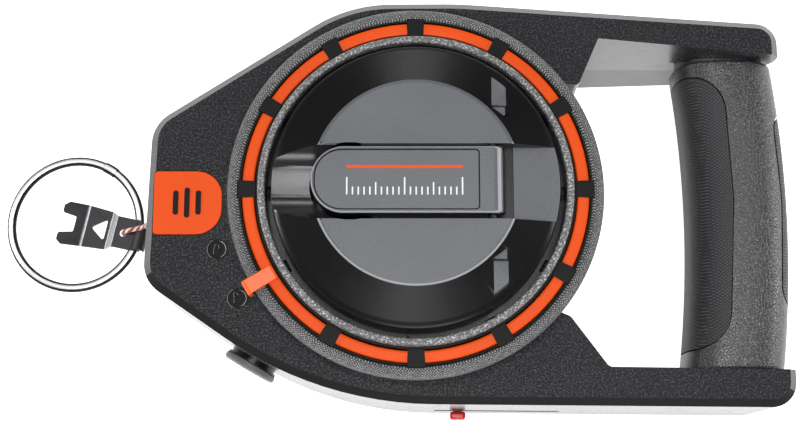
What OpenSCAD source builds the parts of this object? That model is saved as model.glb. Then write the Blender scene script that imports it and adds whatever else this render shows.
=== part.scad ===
/* [Housing] */
// Depth of the rear shell, from the rest face to the parting line
rear_depth = 20; // [16:1:24]
// Depth of the front shell, from the parting line to its face
front_depth = 40; // [38:1:44]
// Wall thickness of both shells
wall = 3; // [2.4:0.1:3.4]
// Width of the chamfer round both faces
chamfer = 3; // [1:0.5:4]
// Radius of the drum part of the housing beside the hand opening
drum_r = 76; // [76:0.5:77]

/* [Dial rings] */
// Height of the textured bumper ring above the housing face
bumper_h = 9.6; // [9:0.1:10.5]
// Outer radius of the orange lock ring
lock_r = 69.9; // [69:0.1:70]
// Width of the orange lock ring
lock_w = 4.9; // [4:0.1:5]
// Angle of the lock lever when the reel is free, anticlockwise from +X
lever_angle = 211; // [208:1:214]
// Turn of the lock ring from free to locked
lock_turn = 14.3; // [10:0.1:16]
// Width of the lock lever
lever_w = 6; // [4:0.5:8]

/* [Crank] */
// Radius of the crank disc
disc_r = 57.5; // [55:0.5:58]
// Radius of the raised centre of the crank disc
plateau_r = 40.3; // [38:0.5:42]
// Width of the folding crank arm
arm_w = 26.6; // [24:0.2:28]
// Thickness of the folding crank arm
arm_t = 9.8; // [8:0.2:10]
// Distance of the fold hinge from the reel axis
hinge_x = 30; // [28:0.5:32]
// Distance of the knob axis from the reel axis, folded
knob_x = 25; // [24:0.5:26]
// Radius of the crank knob
knob_r = 12.5; // [10:0.5:14]
// Length of the crank knob
knob_len = 22.4; // [18:0.2:22.6]

/* [Gears and spool] */
// Gear module
gear_m = 1.25; // [1.25:0.05:1.25]
// Teeth of the sun gear on the spool
sun_teeth = 12; // [12:12:12]
// Teeth of each planet gear
planet_teeth = 24; // [24:12:24]
// Radius of the spool flanges
flange_r = 60; // [54:1:64]
// Radius of the spool core
core_r = 28; // [24:1:34]
// Outer radius of the wound line
wound_r = 50; // [40:1:56]
// Radius of the fixed axle
axle_r = 4; // [3.5:0.1:4.4]

/* [Grip] */
// Width of the grip across the fingers
grip_w = 41.5; // [36:0.5:44]
// Depth of the grip
grip_d = 41; // [36:1:44]
// Bow of the grip away from the hand opening
grip_bow = 4.4; // [0:0.2:6]

/* [Line end] */
// Diameter of the chalk line
line_d = 2; // [1.6:0.1:2.4]
// Outside diameter of the pull ring
ring_od = 61.6; // [56:0.2:64]
// Diameter of the pull ring's wire
ring_wire = 3.9; // [3:0.1:4]
// Turn of the hook away from the -X direction
hook_turn = 12; // [8:1:16]

/* [Hidden] */
$fn = 64;

housing_black = [0.09, 0.09, 0.1];
trim_grey = [0.2, 0.2, 0.21];
plateau_grey = [0.33, 0.34, 0.35];
safety_orange = [0.96, 0.32, 0.08];
steel = [0.72, 0.73, 0.75];
brass = [0.72, 0.55, 0.26];

// Heights of the housing
part_z = rear_depth;
face_z = rear_depth + front_depth;
ring_z = face_z + 8.8;

// Corners of the housing outline: x, y and corner radius
outline_corners = [
    [-110.4, -35.3, 14], [-38.6, -84.6, 150], [151.8, -86.2, 10], [151.6, 73.2, 9],
    [18, 82.6, 150], [-27.5, 82.4, 60], [-108.6, 30.2, 15]
];
// Corners of the hand opening, which runs out past the ends of both arms
opening_corners = [
    [58, 48, 2], [56, 44, 2], [56, -48, 2], [62, -50, 4], [77, -70.3, 3],
    [170, -71.6, 1], [170, 78, 1], [81.4, 78, 3], [67.5, 46, 2]
];
// Lower edge of the upper arm, from the drum to the grip: at the face and at the parting line
face_edge = [[70, 67.1], [170, 57.4]];
parting_edge = [[70, 65.4], [170, 65]];

// Bars over the lock ring: every 30 degrees but the lever's place
bar_angles = [for (a = [0:30:330]) if (a != 210) a];
bar_turn = 5.8;
// Height of the lever's top above the lock ring
lever_top = 2.6;

// Crank disc
hinge_z = 82;
plateau_z = 84;
trough_z = hinge_z - arm_t / 2 - 0.3;
scoop_r = 16.5;
scoop_z = 90.5;
arm_gap = 1.8;
arm_end_x = -41.2;
flange_z = face_z - 1.8;
notch_count = 12;
notch_depth = 2.6;
pawl_travel = 2;
pin_r = 1.5;
well_r = 15.5;
well_x = arm_end_x + well_r - 1.2;
well_z = 52;
hub_r = 10;
hub_screw_orbit = 7.6;
hub_screw_r = 0.9;

// Gear train: fixed ring gear, three planets on the crank's carrier, sun on the spool
ring_teeth = sun_teeth + 2 * planet_teeth;
orbit_r = gear_m * (sun_teeth + planet_teeth) / 2;
gear_z = 37;
gear_t = 8;
planet_count = 3;
fit = 0.06;

// Spool
spool_z = 6;
spool_t = 27;
spool_lip = 2;

// Chalk line route: outlet, sag, over the knuckle and down through the hook
outlet = [-110.8, -4, part_z];
line_r = line_d / 2;
lead_points = [
    [-110.8, -4, 20], [-112, -4, 20], [-113.5, -4, 19.4], [-115.2, -3.9, 18], [-116.6, -3.7, 15.8],
    [-117.4, -3.5, 13.3], [-118.7, -3.7, 11.2], [-120.8, -4.2, 10.2], [-123.4, -4.9, 10.2],
    [-125.9, -5.4, 10.2], [-128, -5.8, 9], [-129.1, -6, 6.9], [-129.2, -6.1, 4.6], [-129, -6.2, 2.4]
];

// Ring and hook
ring_r = (ring_od - ring_wire) / 2;
ring_centre = [-151.3, -1.3];
knuckle_z = 4.4;
knuckle_in = 2.95;
knuckle_out = 4.2;
sheet_t = 1.4;
knuckle = [ring_centre[0] + ring_r * cos(hook_turn), ring_centre[1] - ring_r * sin(hook_turn), knuckle_z];
ring_tilt = asin((knuckle_z - ring_wire / 2 - 0.1) / (2 * ring_r));

// Filler in the lower left wall
filler_point = [-67, -64.9];
filler_angle = -120;
filler_z = 34;
filler_r = 11.5;

// Chalk gate slot in the bottom edge
slot_x = [8, 61];
slot_h = 5;
slider_x = 18;
edge_y = -84.9;

// Housing screws: x, y
screw_places = [
    [-93, 19], [-93, -26], [50, 73.5], [70, -77.6], [98, 71.2], [104, -78], [140, 69.2], [140, -78.8]
];

function unit(v) = v / norm(v);

// Points of the arc that rounds corner b between a and c
function corner_arc(a, b, c, r, steps = 7) =
    let (u = unit(a - b), v = unit(c - b), half = acos(u * v) / 2, centre = b + unit(u + v) * r / sin(half),
        from = b + u * r / tan(half) - centre, turn = 180 - 2 * half, side = sign(cross(b - a, c - b)))
    [for (i = [0:steps]) let (t = side * turn * i / steps)
        centre + [from[0] * cos(t) - from[1] * sin(t), from[0] * sin(t) + from[1] * cos(t)]];

function rounded(corners) = let (n = len(corners)) [
    for (i = [0:n - 1]) let (a = corners[(i + n - 1) % n], b = corners[i], c = corners[(i + 1) % n])
        each corner_arc([a[0], a[1]], [b[0], b[1]], [c[0], c[1]], b[2])
];

module outline() {
    polygon(rounded(outline_corners));
}

module hand_opening() {
    difference() {
        polygon(rounded(opening_corners));
        circle(r = drum_r, $fn = 128);
    }
}

// Region above one edge of the upper arm
module above(edge) {
    polygon([edge[0], edge[1], [edge[1][0], 95], [edge[0][0], 95]]);
}

// Upper arm's side of the hand opening, which leans between the parting line and the face
module upper_arm() {
    translate([0, 0, -2])
        linear_extrude(part_z + 2.01)
            above(parting_edge);
    hull() {
        translate([0, 0, part_z])
            linear_extrude(0.01)
                above(parting_edge);
        translate([0, 0, face_z])
            linear_extrude(3)
                above(face_edge);
    }
}

module hand_gap() {
    difference() {
        translate([0, 0, -1])
            linear_extrude(face_z + 3)
                hand_opening();
        upper_arm();
    }
}

module plan() {
    difference() {
        outline();
        difference() {
            hand_opening();
            above(parting_edge);
        }
    }
}

// Ring of rectangular section
module band(r_out, r_in, z0, z1) {
    translate([0, 0, z0])
        difference() {
            cylinder(r = r_out, h = z1 - z0, $fn = 128);
            translate([0, 0, -1])
                cylinder(r = r_in, h = z1 - z0 + 2, $fn = 128);
        }
}

module screw_bosses(r, z0, z1) {
    for (p = screw_places)
        translate([p[0], p[1], z0])
            cylinder(r = r, h = z1 - z0, $fn = 24);
}

// Places its children on the filler's axis, +Z pointing out of the wall
module on_filler_axis() {
    translate([filler_point[0], filler_point[1], filler_z])
        rotate([0, 90, filler_angle])
            children();
}

module line_hole() {
    translate([-125, outlet[1], part_z])
        rotate([0, 90, 0]) {
            cylinder(r = 5.05, h = 30);
            cylinder(r = 6.65, h = 15.65);
        }
}

module gate_slot() {
    translate([slot_x[0], edge_y - 4, part_z - slot_h / 2])
        cube([slot_x[1] - slot_x[0], 9, slot_h]);
}

module front_block() {
    hull() {
        translate([0, 0, part_z])
            linear_extrude(front_depth - chamfer)
                outline();
        translate([0, 0, face_z - 1])
            linear_extrude(1)
                offset(delta = -chamfer)
                    outline();
    }
}

module rear_block() {
    hull() {
        translate([0, 0, chamfer])
            linear_extrude(rear_depth - chamfer)
                outline();
        linear_extrude(1)
            offset(delta = -chamfer)
                outline();
    }
}

module cavity(z0, z1) {
    translate([0, 0, z0])
        linear_extrude(z1 - z0)
            offset(delta = -wall)
                plan();
}

module front_shell() {
    color(housing_black)
        difference() {
            union() {
                difference() {
                    front_block();
                    hand_gap();
                    cavity(part_z - 1, face_z - wall);
                }
                intersection() {
                    screw_bosses(3.6, part_z, face_z - wall + 1);
                    front_block();
                }
                band(73.4, 71.3, face_z - 1, face_z + 7.4);
                for (a = [196, 211])
                    rotate(a)
                        translate([83.4, 0, face_z - 1])
                            cylinder(r = 4.1, h = 1.5);
            }
            translate([0, 0, face_z - wall - 1])
                cylinder(r = 59.6, h = 8, $fn = 128);
            translate([0, 0, flange_z - 0.3])
                cylinder(r = 61.9, h = 6, $fn = 128);
            translate([-70.4, -2.65, flange_z - 0.25])
                cube([10, 5.3, 6]);
            screw_bosses(1.2, part_z - 1, part_z + 24);
            nose_patch(59.1, 0.15, 3);
            line_hole();
            gate_slot();
            on_filler_axis()
                translate([0, 0, -12])
                    cylinder(r = 10, h = 20);
            grip_bar(9, 144);
        }
}

module rear_shell() {
    color(housing_black)
        difference() {
            union() {
                difference() {
                    rear_block();
                    cavity(wall, rear_depth + 1);
                }
                intersection() {
                    screw_bosses(4.6, 1, part_z);
                    rear_block();
                }
                cylinder(r = 8.5, h = spool_z - 0.4);
            }
            hand_gap();
            translate([0, 0, 1.8])
                cylinder(r = axle_r, h = 10);
            screw_bosses(1.7, -1, part_z + 1);
            screw_bosses(3.3, -1, 3.4);
            line_hole();
            gate_slot();
        }
}

module shell_screws() {
    color(steel)
        for (p = screw_places)
            translate([p[0], p[1], 0.6])
                difference() {
                    union() {
                        cylinder(r = 2.9, h = 2.8);
                        cylinder(r = 1.2, h = part_z + 16);
                    }
                    translate([0, 0, -1])
                        cylinder(r = 1.3, h = 2.6, $fn = 6);
                }
}

// Orange patch on the nose, with rounded corners at its inner end
module nose_patch(z0, grow, h) {
    translate([0, 0, z0])
        linear_extrude(h)
            polygon(rounded([
                [-106.6 - grow, -16.8 - grow, 1.5], [-78.8 + grow, -16.8 - grow, 10.5],
                [-78.8 + grow, 9.5 + grow, 10.5], [-106.6 - grow, 9.5 + grow, 1.5]
            ]));
}

module nose_plate() {
    color(safety_orange)
        nose_patch(59.1, 0, 1.2);
}

module bumper_ring() {
    color(trim_grey)
        rotate_extrude($fn = 128)
            difference() {
                polygon([
                    [70.9, face_z], [70.9, face_z + 8.2], [71.4, face_z + 8.9], [72.4, face_z + 9.4],
                    [73.4, face_z + bumper_h], [74.4, face_z + 9.4], [75.2, face_z + 8.7],
                    [75.8, face_z + 7.4], [drum_r, face_z + 5.6], [drum_r, face_z]
                ]);
                translate([71.2, face_z - 1])
                    square([2.35, 8.5]);
            }
}

module bezel_ring() {
    color(housing_black) {
        band(70.85, 70.2, face_z, face_z + 7.6);
        band(70.85, 70.2, face_z + 7.5, face_z + 9.2);
        band(64.6, 60.4, face_z + 0.3, face_z + 9.2);
        for (a = bar_angles)
            rotate(a)
                intersection() {
                    band(70.6, 64.2, ring_z + 0.25, ring_z + 0.95);
                    translate([60, -tan(bar_turn / 2) * 67, 60])
                        cube([12, 2 * tan(bar_turn / 2) * 67, 12]);
                }
    }
}

module rim_trim() {
    color(trim_grey)
        rotate_extrude($fn = 128)
            polygon([
                [60.4, face_z + 9.2], [60.4, face_z + 12.4], [60.9, face_z + 13], [62.8, face_z + 13],
                [63.4, face_z + 12.2], [63.4, face_z + 9.2]
            ]);
}

// Lever in its own frame, pointing along +X, with a tip that turns down over the bumper
module lever() {
    translate([65.2, -lever_w / 2, ring_z - 0.6])
        cube([4.6, lever_w, lever_top + 0.6]);
    translate([65.2, -lever_w / 2, ring_z + 1.1])
        cube([13.8, lever_w, lever_top - 1.1]);
    translate([77, -lever_w / 2, ring_z - 5.4])
        cube([2, lever_w, 5.4 + lever_top]);
}

module lock_ring() {
    color(safety_orange)
        difference() {
            union() {
                band(lock_r, lock_r - lock_w, face_z + 0.4, ring_z);
                rotate(lever_angle)
                    lever();
            }
            hull() {
                rotate(180)
                    translate([68.2, 0, face_z])
                        cylinder(r = 1.05, h = 2.4, $fn = 24);
                rotate(180 + lock_turn / 2)
                    translate([68.2 - pawl_travel / 2, 0, face_z])
                        cylinder(r = 1.15, h = 2.4, $fn = 24);
            }
            hull() {
                rotate(180 + lock_turn / 2)
                    translate([68.2 - pawl_travel / 2, 0, face_z])
                        cylinder(r = 1.15, h = 2.4, $fn = 24);
                rotate(180 + lock_turn)
                    translate([68.2 - pawl_travel, 0, face_z])
                        cylinder(r = 1.05, h = 2.4, $fn = 24);
            }
        }
}

module lock_pawl() {
    color(steel) {
        translate([-69.8, -2.4, flange_z])
            cube([7.9, 4.8, 1.5]);
        translate([-68.2, 0, flange_z + 1])
            cylinder(r = 0.8, h = 2.4);
    }
}

module disc_profile() {
    polygon([
        [0, plateau_z], [plateau_r, plateau_z], [41.6, plateau_z - 0.9], [54.6, 78.4], [56.4, 77.8],
        [57.2, 76.8], [disc_r, 75.4], [disc_r, flange_z + 1.6], [61.4, flange_z + 1.6], [61.4, flange_z],
        [55, flange_z], [55, 75.4], [41, 80.4], [38.5, 81.4], [0, 81.4]
    ]);
}

module disc_pockets(grow) {
    for (s = [-1, 1])
        translate([28.9 - grow, s * 38.8 - 7.8 - grow, 79 - grow])
            cube([7.1 + 2 * grow, 15.6 + 2 * grow, grow > 0 ? 3.6 : 8]);
}

module crank_disc() {
    half = arm_w / 2 + arm_gap;
    color(housing_black)
        difference() {
            intersection() {
                union() {
                    rotate_extrude($fn = 128)
                        disc_profile();
                    translate([arm_end_x - 3, -half - 2.4, trough_z - 2])
                        cube([disc_r - arm_end_x + 3, 2 * half + 4.8, 9.4]);
                    translate([-56, -17, 72.5])
                        cube([13, 34, 10.9]);
                    disc_pockets(1.6);
                    for (s = [-1, 1])
                        translate([hinge_x - 5, s * (half + 3.6) - 3.6, 77])
                            cube([10, 7.2, plateau_z - 77]);
                    for (x = [-knob_x, well_x])
                        translate([x, 0, well_z - 1.8])
                            cylinder(r = well_r + 1.8, h = trough_z - well_z);
                    translate([0, 0, 50])
                        cylinder(r = hub_r, h = trough_z - 50.5);
                }
                union() {
                    rotate_extrude($fn = 128)
                        polygon([
                            [0, plateau_z], [plateau_r, plateau_z], [41.6, plateau_z - 0.9], [54.6, 78.4],
                            [56.4, 77.8], [57.2, 76.8], [disc_r, 75.4], [disc_r, flange_z + 1.6],
                            [61.4, flange_z + 1.6], [61.4, flange_z], [0, flange_z]
                        ]);
                    translate([0, 0, 49])
                        cylinder(r = 45, h = 12);
                }
            }
            translate([-28, -half, trough_z])
                cube([90, 2 * half, 20]);
            translate([-66, 0, scoop_z])
                rotate([0, 90, 0])
                    cylinder(r = scoop_r, h = 40);
            disc_pockets(0);
            for (x = [-knob_x, well_x])
                translate([x, 0, well_z])
                    cylinder(r = well_r, h = 40);
            translate([0, 0, 40])
                cylinder(r = axle_r + fit, h = 19);
            translate([hinge_x, 40, hinge_z])
                rotate([90, 0, 0])
                    cylinder(r = pin_r, h = 80);
            for (i = [0:notch_count - 1])
                rotate(180 + i * 360 / notch_count)
                    translate([61.6 - notch_depth, -2.8, flange_z - 1])
                        cube([4, 5.6, 4]);
            for (i = [0:2])
                rotate(60 + i * 120)
                    translate([hub_screw_orbit, 0, 49])
                        cylinder(r = hub_screw_r, h = 9, $fn = 24);
        }
}

module crank_arm() {
    half = arm_w / 2;
    color(plateau_grey)
        difference() {
            union() {
                intersection() {
                    translate([arm_end_x + half, 0, hinge_z - arm_t / 2])
                        cylinder(r = half, h = arm_t, $fn = 96);
                    translate([arm_end_x - 1, -half, 60])
                        cube([half + 2, arm_w, 40]);
                }
                translate([arm_end_x + half, -half, hinge_z - arm_t / 2])
                    cube([hinge_x - arm_end_x - half, arm_w, arm_t]);
                translate([hinge_x, half, hinge_z])
                    rotate([90, 0, 0])
                        cylinder(r = arm_t / 2, h = arm_w);
            }
            arm_badge_form(0.3, 2);
            translate([hinge_x, 40, hinge_z])
                rotate([90, 0, 0])
                    cylinder(r = pin_r + fit, h = 80);
            translate([-knob_x, 0, 60])
                cylinder(r = 2.5, h = 25);
        }
}

module arm_badge_form(grow, h) {
    half = 11.7 + grow;
    translate([0, 0, hinge_z + arm_t / 2 - 0.9])
        linear_extrude(h)
            polygon(rounded([
                [-39.5 - grow, -half, 10.5], [24.4 + grow, -half, 1.2], [24.4 + grow, half, 1.2],
                [-39.5 - grow, half, 10.5]
            ]));
}

module arm_badge() {
    color(plateau_grey)
        arm_badge_form(0, 0.7);
}

module hinge_pin() {
    color(steel)
        translate([hinge_x, 20.4, hinge_z])
            rotate([90, 0, 0])
                cylinder(r = pin_r, h = 40.8);
}

module crank_knob() {
    top = hinge_z - arm_t / 2 - 0.4;
    color(housing_black)
        translate([-knob_x, 0, top - knob_len])
            rotate_extrude()
                polygon([
                    [2.5 + fit, 1.8], [5.5, 1.8], [5.5, 0], [knob_r - 2, 0], [knob_r - 0.5, 1], [knob_r, 3],
                    [knob_r, 7], [knob_r - 1.8, 13], [knob_r - 2.5, 17], [knob_r - 2.2, 21],
                    [knob_r - 3.4, knob_len], [2.5 + fit, knob_len]
                ]);
}

module knob_pin() {
    top = hinge_z - arm_t / 2;
    color(steel)
        translate([-knob_x, 0, top - knob_len - 0.4]) {
            cylinder(r = 4.8, h = 1.4);
            cylinder(r = 2.5, h = knob_len + 8);
        }
}

module planet_carrier() {
    color(steel)
        translate([0, 0, gear_z + gear_t + 1.6])
            difference() {
                cylinder(r = orbit_r + 6, h = 3);
                translate([0, 0, -1])
                    cylinder(r = axle_r + fit, h = 6);
                for (i = [0:planet_count - 1])
                    rotate(i * 360 / planet_count)
                        translate([orbit_r, 0, -1])
                            cylinder(r = 2.5, h = 6);
                for (i = [0:2])
                    rotate(60 + i * 120)
                        translate([hub_screw_orbit, 0, -1])
                            cylinder(r = hub_screw_r, h = 6, $fn = 24);
            }
}

module carrier_screws() {
    color(steel)
        for (i = [0:2])
            rotate(60 + i * 120)
                translate([hub_screw_orbit, 0, gear_z + gear_t + 0.4]) {
                    cylinder(r = 1.7, h = 1.2);
                    cylinder(r = hub_screw_r, h = 10, $fn = 24);
                }
}

module planet_pins() {
    color(steel)
        for (i = [0:planet_count - 1])
            rotate(i * 360 / planet_count)
                translate([orbit_r, 0, gear_z + 0.5])
                    cylinder(r = 2.5, h = gear_t + 4);
}

// Outline of one gear, its first tooth centred on +X; slim teeth leave running backlash
function gear_outline(teeth, tip, root, inside = false) =
    let (step = 360 / teeth, root_r = gear_m * teeth / 2 - root, tip_r = gear_m * teeth / 2 + tip,
        r_a = inside ? tip_r : root_r, r_b = inside ? root_r : tip_r)
    [for (i = [0:teeth - 1]) let (a = i * step)
        each [
            r_a * [cos(a - step * 0.27), sin(a - step * 0.27)],
            r_b * [cos(a - step * 0.1), sin(a - step * 0.1)],
            r_b * [cos(a + step * 0.1), sin(a + step * 0.1)],
            r_a * [cos(a + step * 0.27), sin(a + step * 0.27)]
        ]];

module planet_gear(i) {
    place = i * 360 / planet_count;
    color(brass)
        rotate(place)
            translate([orbit_r, 0, gear_z])
                difference() {
                    rotate(180 / planet_teeth)
                        linear_extrude(gear_t)
                            polygon(gear_outline(planet_teeth, 0.9, 1.3));
                    translate([0, 0, -1])
                        cylinder(r = 2.5 + fit, h = gear_t + 2);
                }
}

module planet_gear_1() {
    planet_gear(0);
}

module planet_gear_2() {
    planet_gear(1);
}

module planet_gear_3() {
    planet_gear(2);
}

module ring_gear() {
    color(trim_grey)
        translate([0, 0, gear_z - 1])
            difference() {
                cylinder(r = 43.5, h = gear_t + 2, $fn = 96);
                translate([0, 0, -1])
                    linear_extrude(gear_t + 4)
                        polygon(gear_outline(ring_teeth, 1.3, 0.9, true));
            }
}

module bulkhead() {
    color(trim_grey)
        difference() {
            union() {
                translate([0, 0, gear_z - 3.2])
                    cylinder(r = 72.4, h = 2.2, $fn = 128);
                for (a = [45:90:315])
                    rotate(a)
                        translate([67.5, 0, gear_z - 3.2])
                            cylinder(r = 4, h = face_z - wall - gear_z + 3.2);
            }
            translate([0, 0, gear_z - 5])
                cylinder(r = 12, h = 6);
        }
}

module spool() {
    color(trim_grey)
        difference() {
            union() {
                translate([0, 0, spool_z])
                    cylinder(r = flange_r, h = spool_lip, $fn = 128);
                translate([0, 0, spool_z + spool_t - spool_lip])
                    cylinder(r = flange_r, h = spool_lip, $fn = 128);
                translate([0, 0, spool_z])
                    cylinder(r = core_r, h = spool_t);
            }
            translate([0, 0, spool_z + 4])
                difference() {
                    cylinder(r = core_r - 2.5, h = spool_t);
                    translate([0, 0, -1])
                        cylinder(r = 9, h = spool_t + 2);
                }
            translate([0, 0, -1])
                cylinder(r = axle_r + fit, h = 60);
            translate([0, 0, spool_z + spool_t - 5])
                cylinder(r = 6, h = 10);
        }
}

module sun_gear() {
    color(brass)
        difference() {
            union() {
                translate([0, 0, spool_z + spool_t - 5])
                    cylinder(r = 6, h = gear_z - spool_z - spool_t + 6);
                translate([0, 0, gear_z])
                    linear_extrude(gear_t)
                        polygon(gear_outline(sun_teeth, 0.9, 1.3));
            }
            translate([0, 0, -1])
                cylinder(r = axle_r + fit, h = 60);
        }
}

module wound_line() {
    color([0.8, 0.25, 0.22])
        band(wound_r, core_r, spool_z + spool_lip, spool_z + spool_t - spool_lip);
}

module axle() {
    color(steel)
        difference() {
            translate([0, 0, 1.8])
                cylinder(r = axle_r, h = 55.2);
            band(axle_r + 1, axle_r - 0.6, gear_z + gear_t + 0.3, gear_z + gear_t + 1.2);
        }
}

module axle_clip() {
    color(steel)
        difference() {
            band(5.4, axle_r - 0.6, gear_z + gear_t + 0.35, gear_z + gear_t + 1.15);
            translate([0, -2.4, gear_z + gear_t])
                cube([10, 4.8, 3]);
        }
}

// Line inside the housing, from the winding to the outlet
module line_run() {
    inner = [-104, outlet[1]];
    reach = norm(inner);
    leave = atan2(inner[1], inner[0]) - acos(wound_r / reach);
    tangent = (wound_r + line_r + 0.1) * [cos(leave), sin(leave)];
    way = tangent - inner;
    color([0.85, 0.3, 0.27]) {
        translate([inner[0], inner[1], part_z])
            rotate([0, 90, atan2(way[1], way[0])])
                cylinder(r = line_r, h = norm(way) - 0.6);
        translate([inner[0], inner[1], part_z])
            sphere(r = line_r);
        translate([outlet[0] + 0.5, outlet[1], part_z])
            rotate([0, 90, 0])
                cylinder(r = line_r, h = inner[0] - outlet[0] - 0.5);
    }
}

module line_outlet() {
    color(steel)
        translate([-110.6, outlet[1], part_z])
            rotate([0, 90, 0])
                difference() {
                    union() {
                        cylinder(r = 6.6, h = 1.2);
                        cylinder(r = 5, h = 6);
                    }
                    translate([0, 0, -1])
                        cylinder(r = 1.6, h = 9);
                }
}

module felt_wipers() {
    color([0.55, 0.5, 0.42])
        for (s = [-1, 1])
            translate([-103.8, outlet[1] - 6, part_z + (s > 0 ? line_r + 0.05 : -line_r - 6.05)])
                cube([7, 14, 6]);
}

module filler_neck() {
    color(housing_black)
        on_filler_axis()
            difference() {
                union() {
                    translate([0, 0, -5])
                        cylinder(r = 10, h = 7);
                    translate([0, 0, 1.2])
                        cylinder(r = 11, h = 0.8);
                }
                translate([0, 0, -6])
                    cylinder(r = 8.6, h = 9);
            }
}

module filler_cap() {
    color(trim_grey)
        on_filler_axis()
            difference() {
                union() {
                    translate([0, 0, 2.1])
                        cylinder(r = filler_r, h = 2.9);
                    translate([0, 0, -4])
                        cylinder(r = 8.5, h = 7);
                }
                translate([0, 0, -5])
                    cylinder(r = 6.8, h = 6);
            }
}

module chalk_gate() {
    color(housing_black) {
        translate([slider_x - 11, edge_y + 4, part_z - 7])
            cube([20, 1.4, 14]);
        translate([slider_x - 1.8, edge_y - 2, part_z - 1.8])
            cube([3.6, 6.2, 3.6]);
    }
}

module slider_knob() {
    color([0.8, 0.08, 0.05])
        translate([slider_x, 0, part_z])
            difference() {
                translate([-3.3, edge_y - 4.2, -3.6])
                    cube([6.6, 3.5, 7.2]);
                translate([-1.8, edge_y - 2, -1.8])
                    cube([3.6, 6, 3.6]);
            }
}

function section_point(a, w, d) = let (p = 0.72, c = cos(a), s = sin(a))
    [w / 2 * sign(c) * pow(abs(c), p), d / 2 * sign(s) * pow(abs(s), p)];

// Ring of points round the grip at height y
function grip_ring(y, inset, sides) =
    let (x = 132.2 + grip_bow * (1 - pow((y + 3) / 65, 2)), z = 31)
    [for (i = [0:sides - 1]) let (q = section_point(360 * i / sides, grip_w - 2 * inset, grip_d - 2 * inset))
        [x + q[0], y, z + q[1]]];

// Closed skin over rings of equal length, each ring one list of points
module skin(rings) {
    n = len(rings[0]);
    m = len(rings);
    points = [for (r = rings) each r];
    walls = [for (j = [0:m - 2]) for (i = [0:n - 1])
        each [
            [j * n + i, j * n + (i + 1) % n, (j + 1) * n + (i + 1) % n],
            [j * n + i, (j + 1) * n + (i + 1) % n, (j + 1) * n + i]
        ]];
    caps = [[for (i = [n - 1:-1:0]) i], [for (i = [0:n - 1]) (m - 1) * n + i]];
    polyhedron(points, concat(walls, caps), convexity = 4);
}

module grip_form(inset, y0, y1) {
    skin([for (i = [0:8]) grip_ring(y0 + (y1 - y0) * i / 8, inset, 28)]);
}

module pad_zone(corners, grow) {
    translate([0, 0, -5])
        linear_extrude(80)
            offset(delta = grow)
                polygon(rounded(corners));
}

inner_pad = [[100, -62, 1], [127.5, -62, 16], [131.6, 0, 60], [129.5, 53.5, 16], [100, 53.5, 1]];
outer_pad = [[175, -46, 1], [150.5, -46, 10], [153, 0, 60], [150.5, 40, 10], [175, 40, 1]];

// Round bar along the grip, let into both arms
module grip_bar(r, length) {
    translate([132.4, 66.5, 31])
        rotate([90, 0, 0])
            cylinder(r = r, h = length);
}

module grip_core() {
    color(steel)
        difference() {
            grip_bar(9, 144);
            translate([0, 1, 0])
                grip_bar(6.5, 146);
        }
}

module grip_sleeve() {
    color(housing_black)
        difference() {
            union() {
                grip_form(0, -70.6, 60.2);
                grip_form(3, 60, 64.4);
            }
            intersection() {
                difference() {
                    grip_form(-1, -69, 58.6);
                    grip_form(2.1, -71, 60.4);
                }
                union() {
                    pad_zone(inner_pad, 0.15);
                    pad_zone(outer_pad, 0.15);
                }
            }
            grip_bar(9, 144);
            translate([0, -0.1, 0])
                upper_arm();
        }
}

module grip_pad_inner() {
    color(trim_grey)
        intersection() {
            difference() {
                grip_form(0, -70.6, 60.2);
                grip_form(2, -72, 62);
            }
            pad_zone(inner_pad, 0);
        }
}

module grip_pad_outer() {
    color(trim_grey)
        intersection() {
            difference() {
                grip_form(0, -70.6, 60.2);
                grip_form(2, -72, 62);
            }
            pad_zone(outer_pad, 0);
        }
}

// Round tube along the points of a route
function tube_rings(route, r, sides = 8) = [
    for (i = [0:len(route) - 1])
        let (a = route[max(i - 1, 0)], b = route[min(i + 1, len(route) - 1)], t = unit(b - a),
            u = unit(cross(t, [0, 1, 0])), v = cross(t, u))
        [for (k = [0:sides - 1]) route[i] + r * (cos(360 * k / sides) * u + sin(360 * k / sides) * v)]
];

module line_lead() {
    color([0.9, 0.35, 0.3])
        skin(tube_rings(lead_points, line_r));
}

// Hook frame: origin at the knuckle, +X towards the claws
module on_hook() {
    translate(knuckle)
        rotate(180 - hook_turn)
            children();
}

// Side view of the folded sheet, from the knuckle out to the claws
module hook_side() {
    polygon([
        [0, 1.6], [10, 1.6], [12.6, -0.6], [24, -0.6], [36, -4.2], [36.4, -2.9], [24.2, -0.6 + sheet_t],
        [12.9, -0.6 + sheet_t], [10.3, 1.6 + sheet_t], [0, 1.6 + sheet_t]
    ]);
}

// Plan of the sheet, with the notch between its claws
module hook_plan() {
    polygon([
        [0, -7], [9.8, -7], [12.8, -8.6], [24, -9.4], [34, -9.8], [37, -7.6], [36, -4.6], [29.2, -3.5],
        [29.2, 3.5], [36, 4.6], [37, 7.6], [34, 9.8], [24, 9.4], [12.8, 8.6], [9.8, 7], [0, 7]
    ]);
}

module line_hook() {
    color([0.13, 0.13, 0.14])
        on_hook()
            difference() {
                union() {
                    translate([0, 6, 0])
                        rotate([90, 0, 0])
                            cylinder(r = knuckle_out, h = 12);
                    intersection() {
                        translate([0, 12, 0])
                            rotate([90, 0, 0])
                                linear_extrude(24)
                                    hook_side();
                        translate([0, 0, -8])
                            linear_extrude(16)
                                hook_plan();
                    }
                }
                translate([0, 8, 0])
                    rotate([90, 0, 0])
                        cylinder(r = knuckle_in, h = 16);
                translate([6.2, 0, 0])
                    cylinder(r = 1.7, h = 9);
                translate([0, 0, -6])
                    linear_extrude(12)
                        polygon([[14.6, -5], [14.6, 5], [21.4, 0]]);
            }
}

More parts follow.
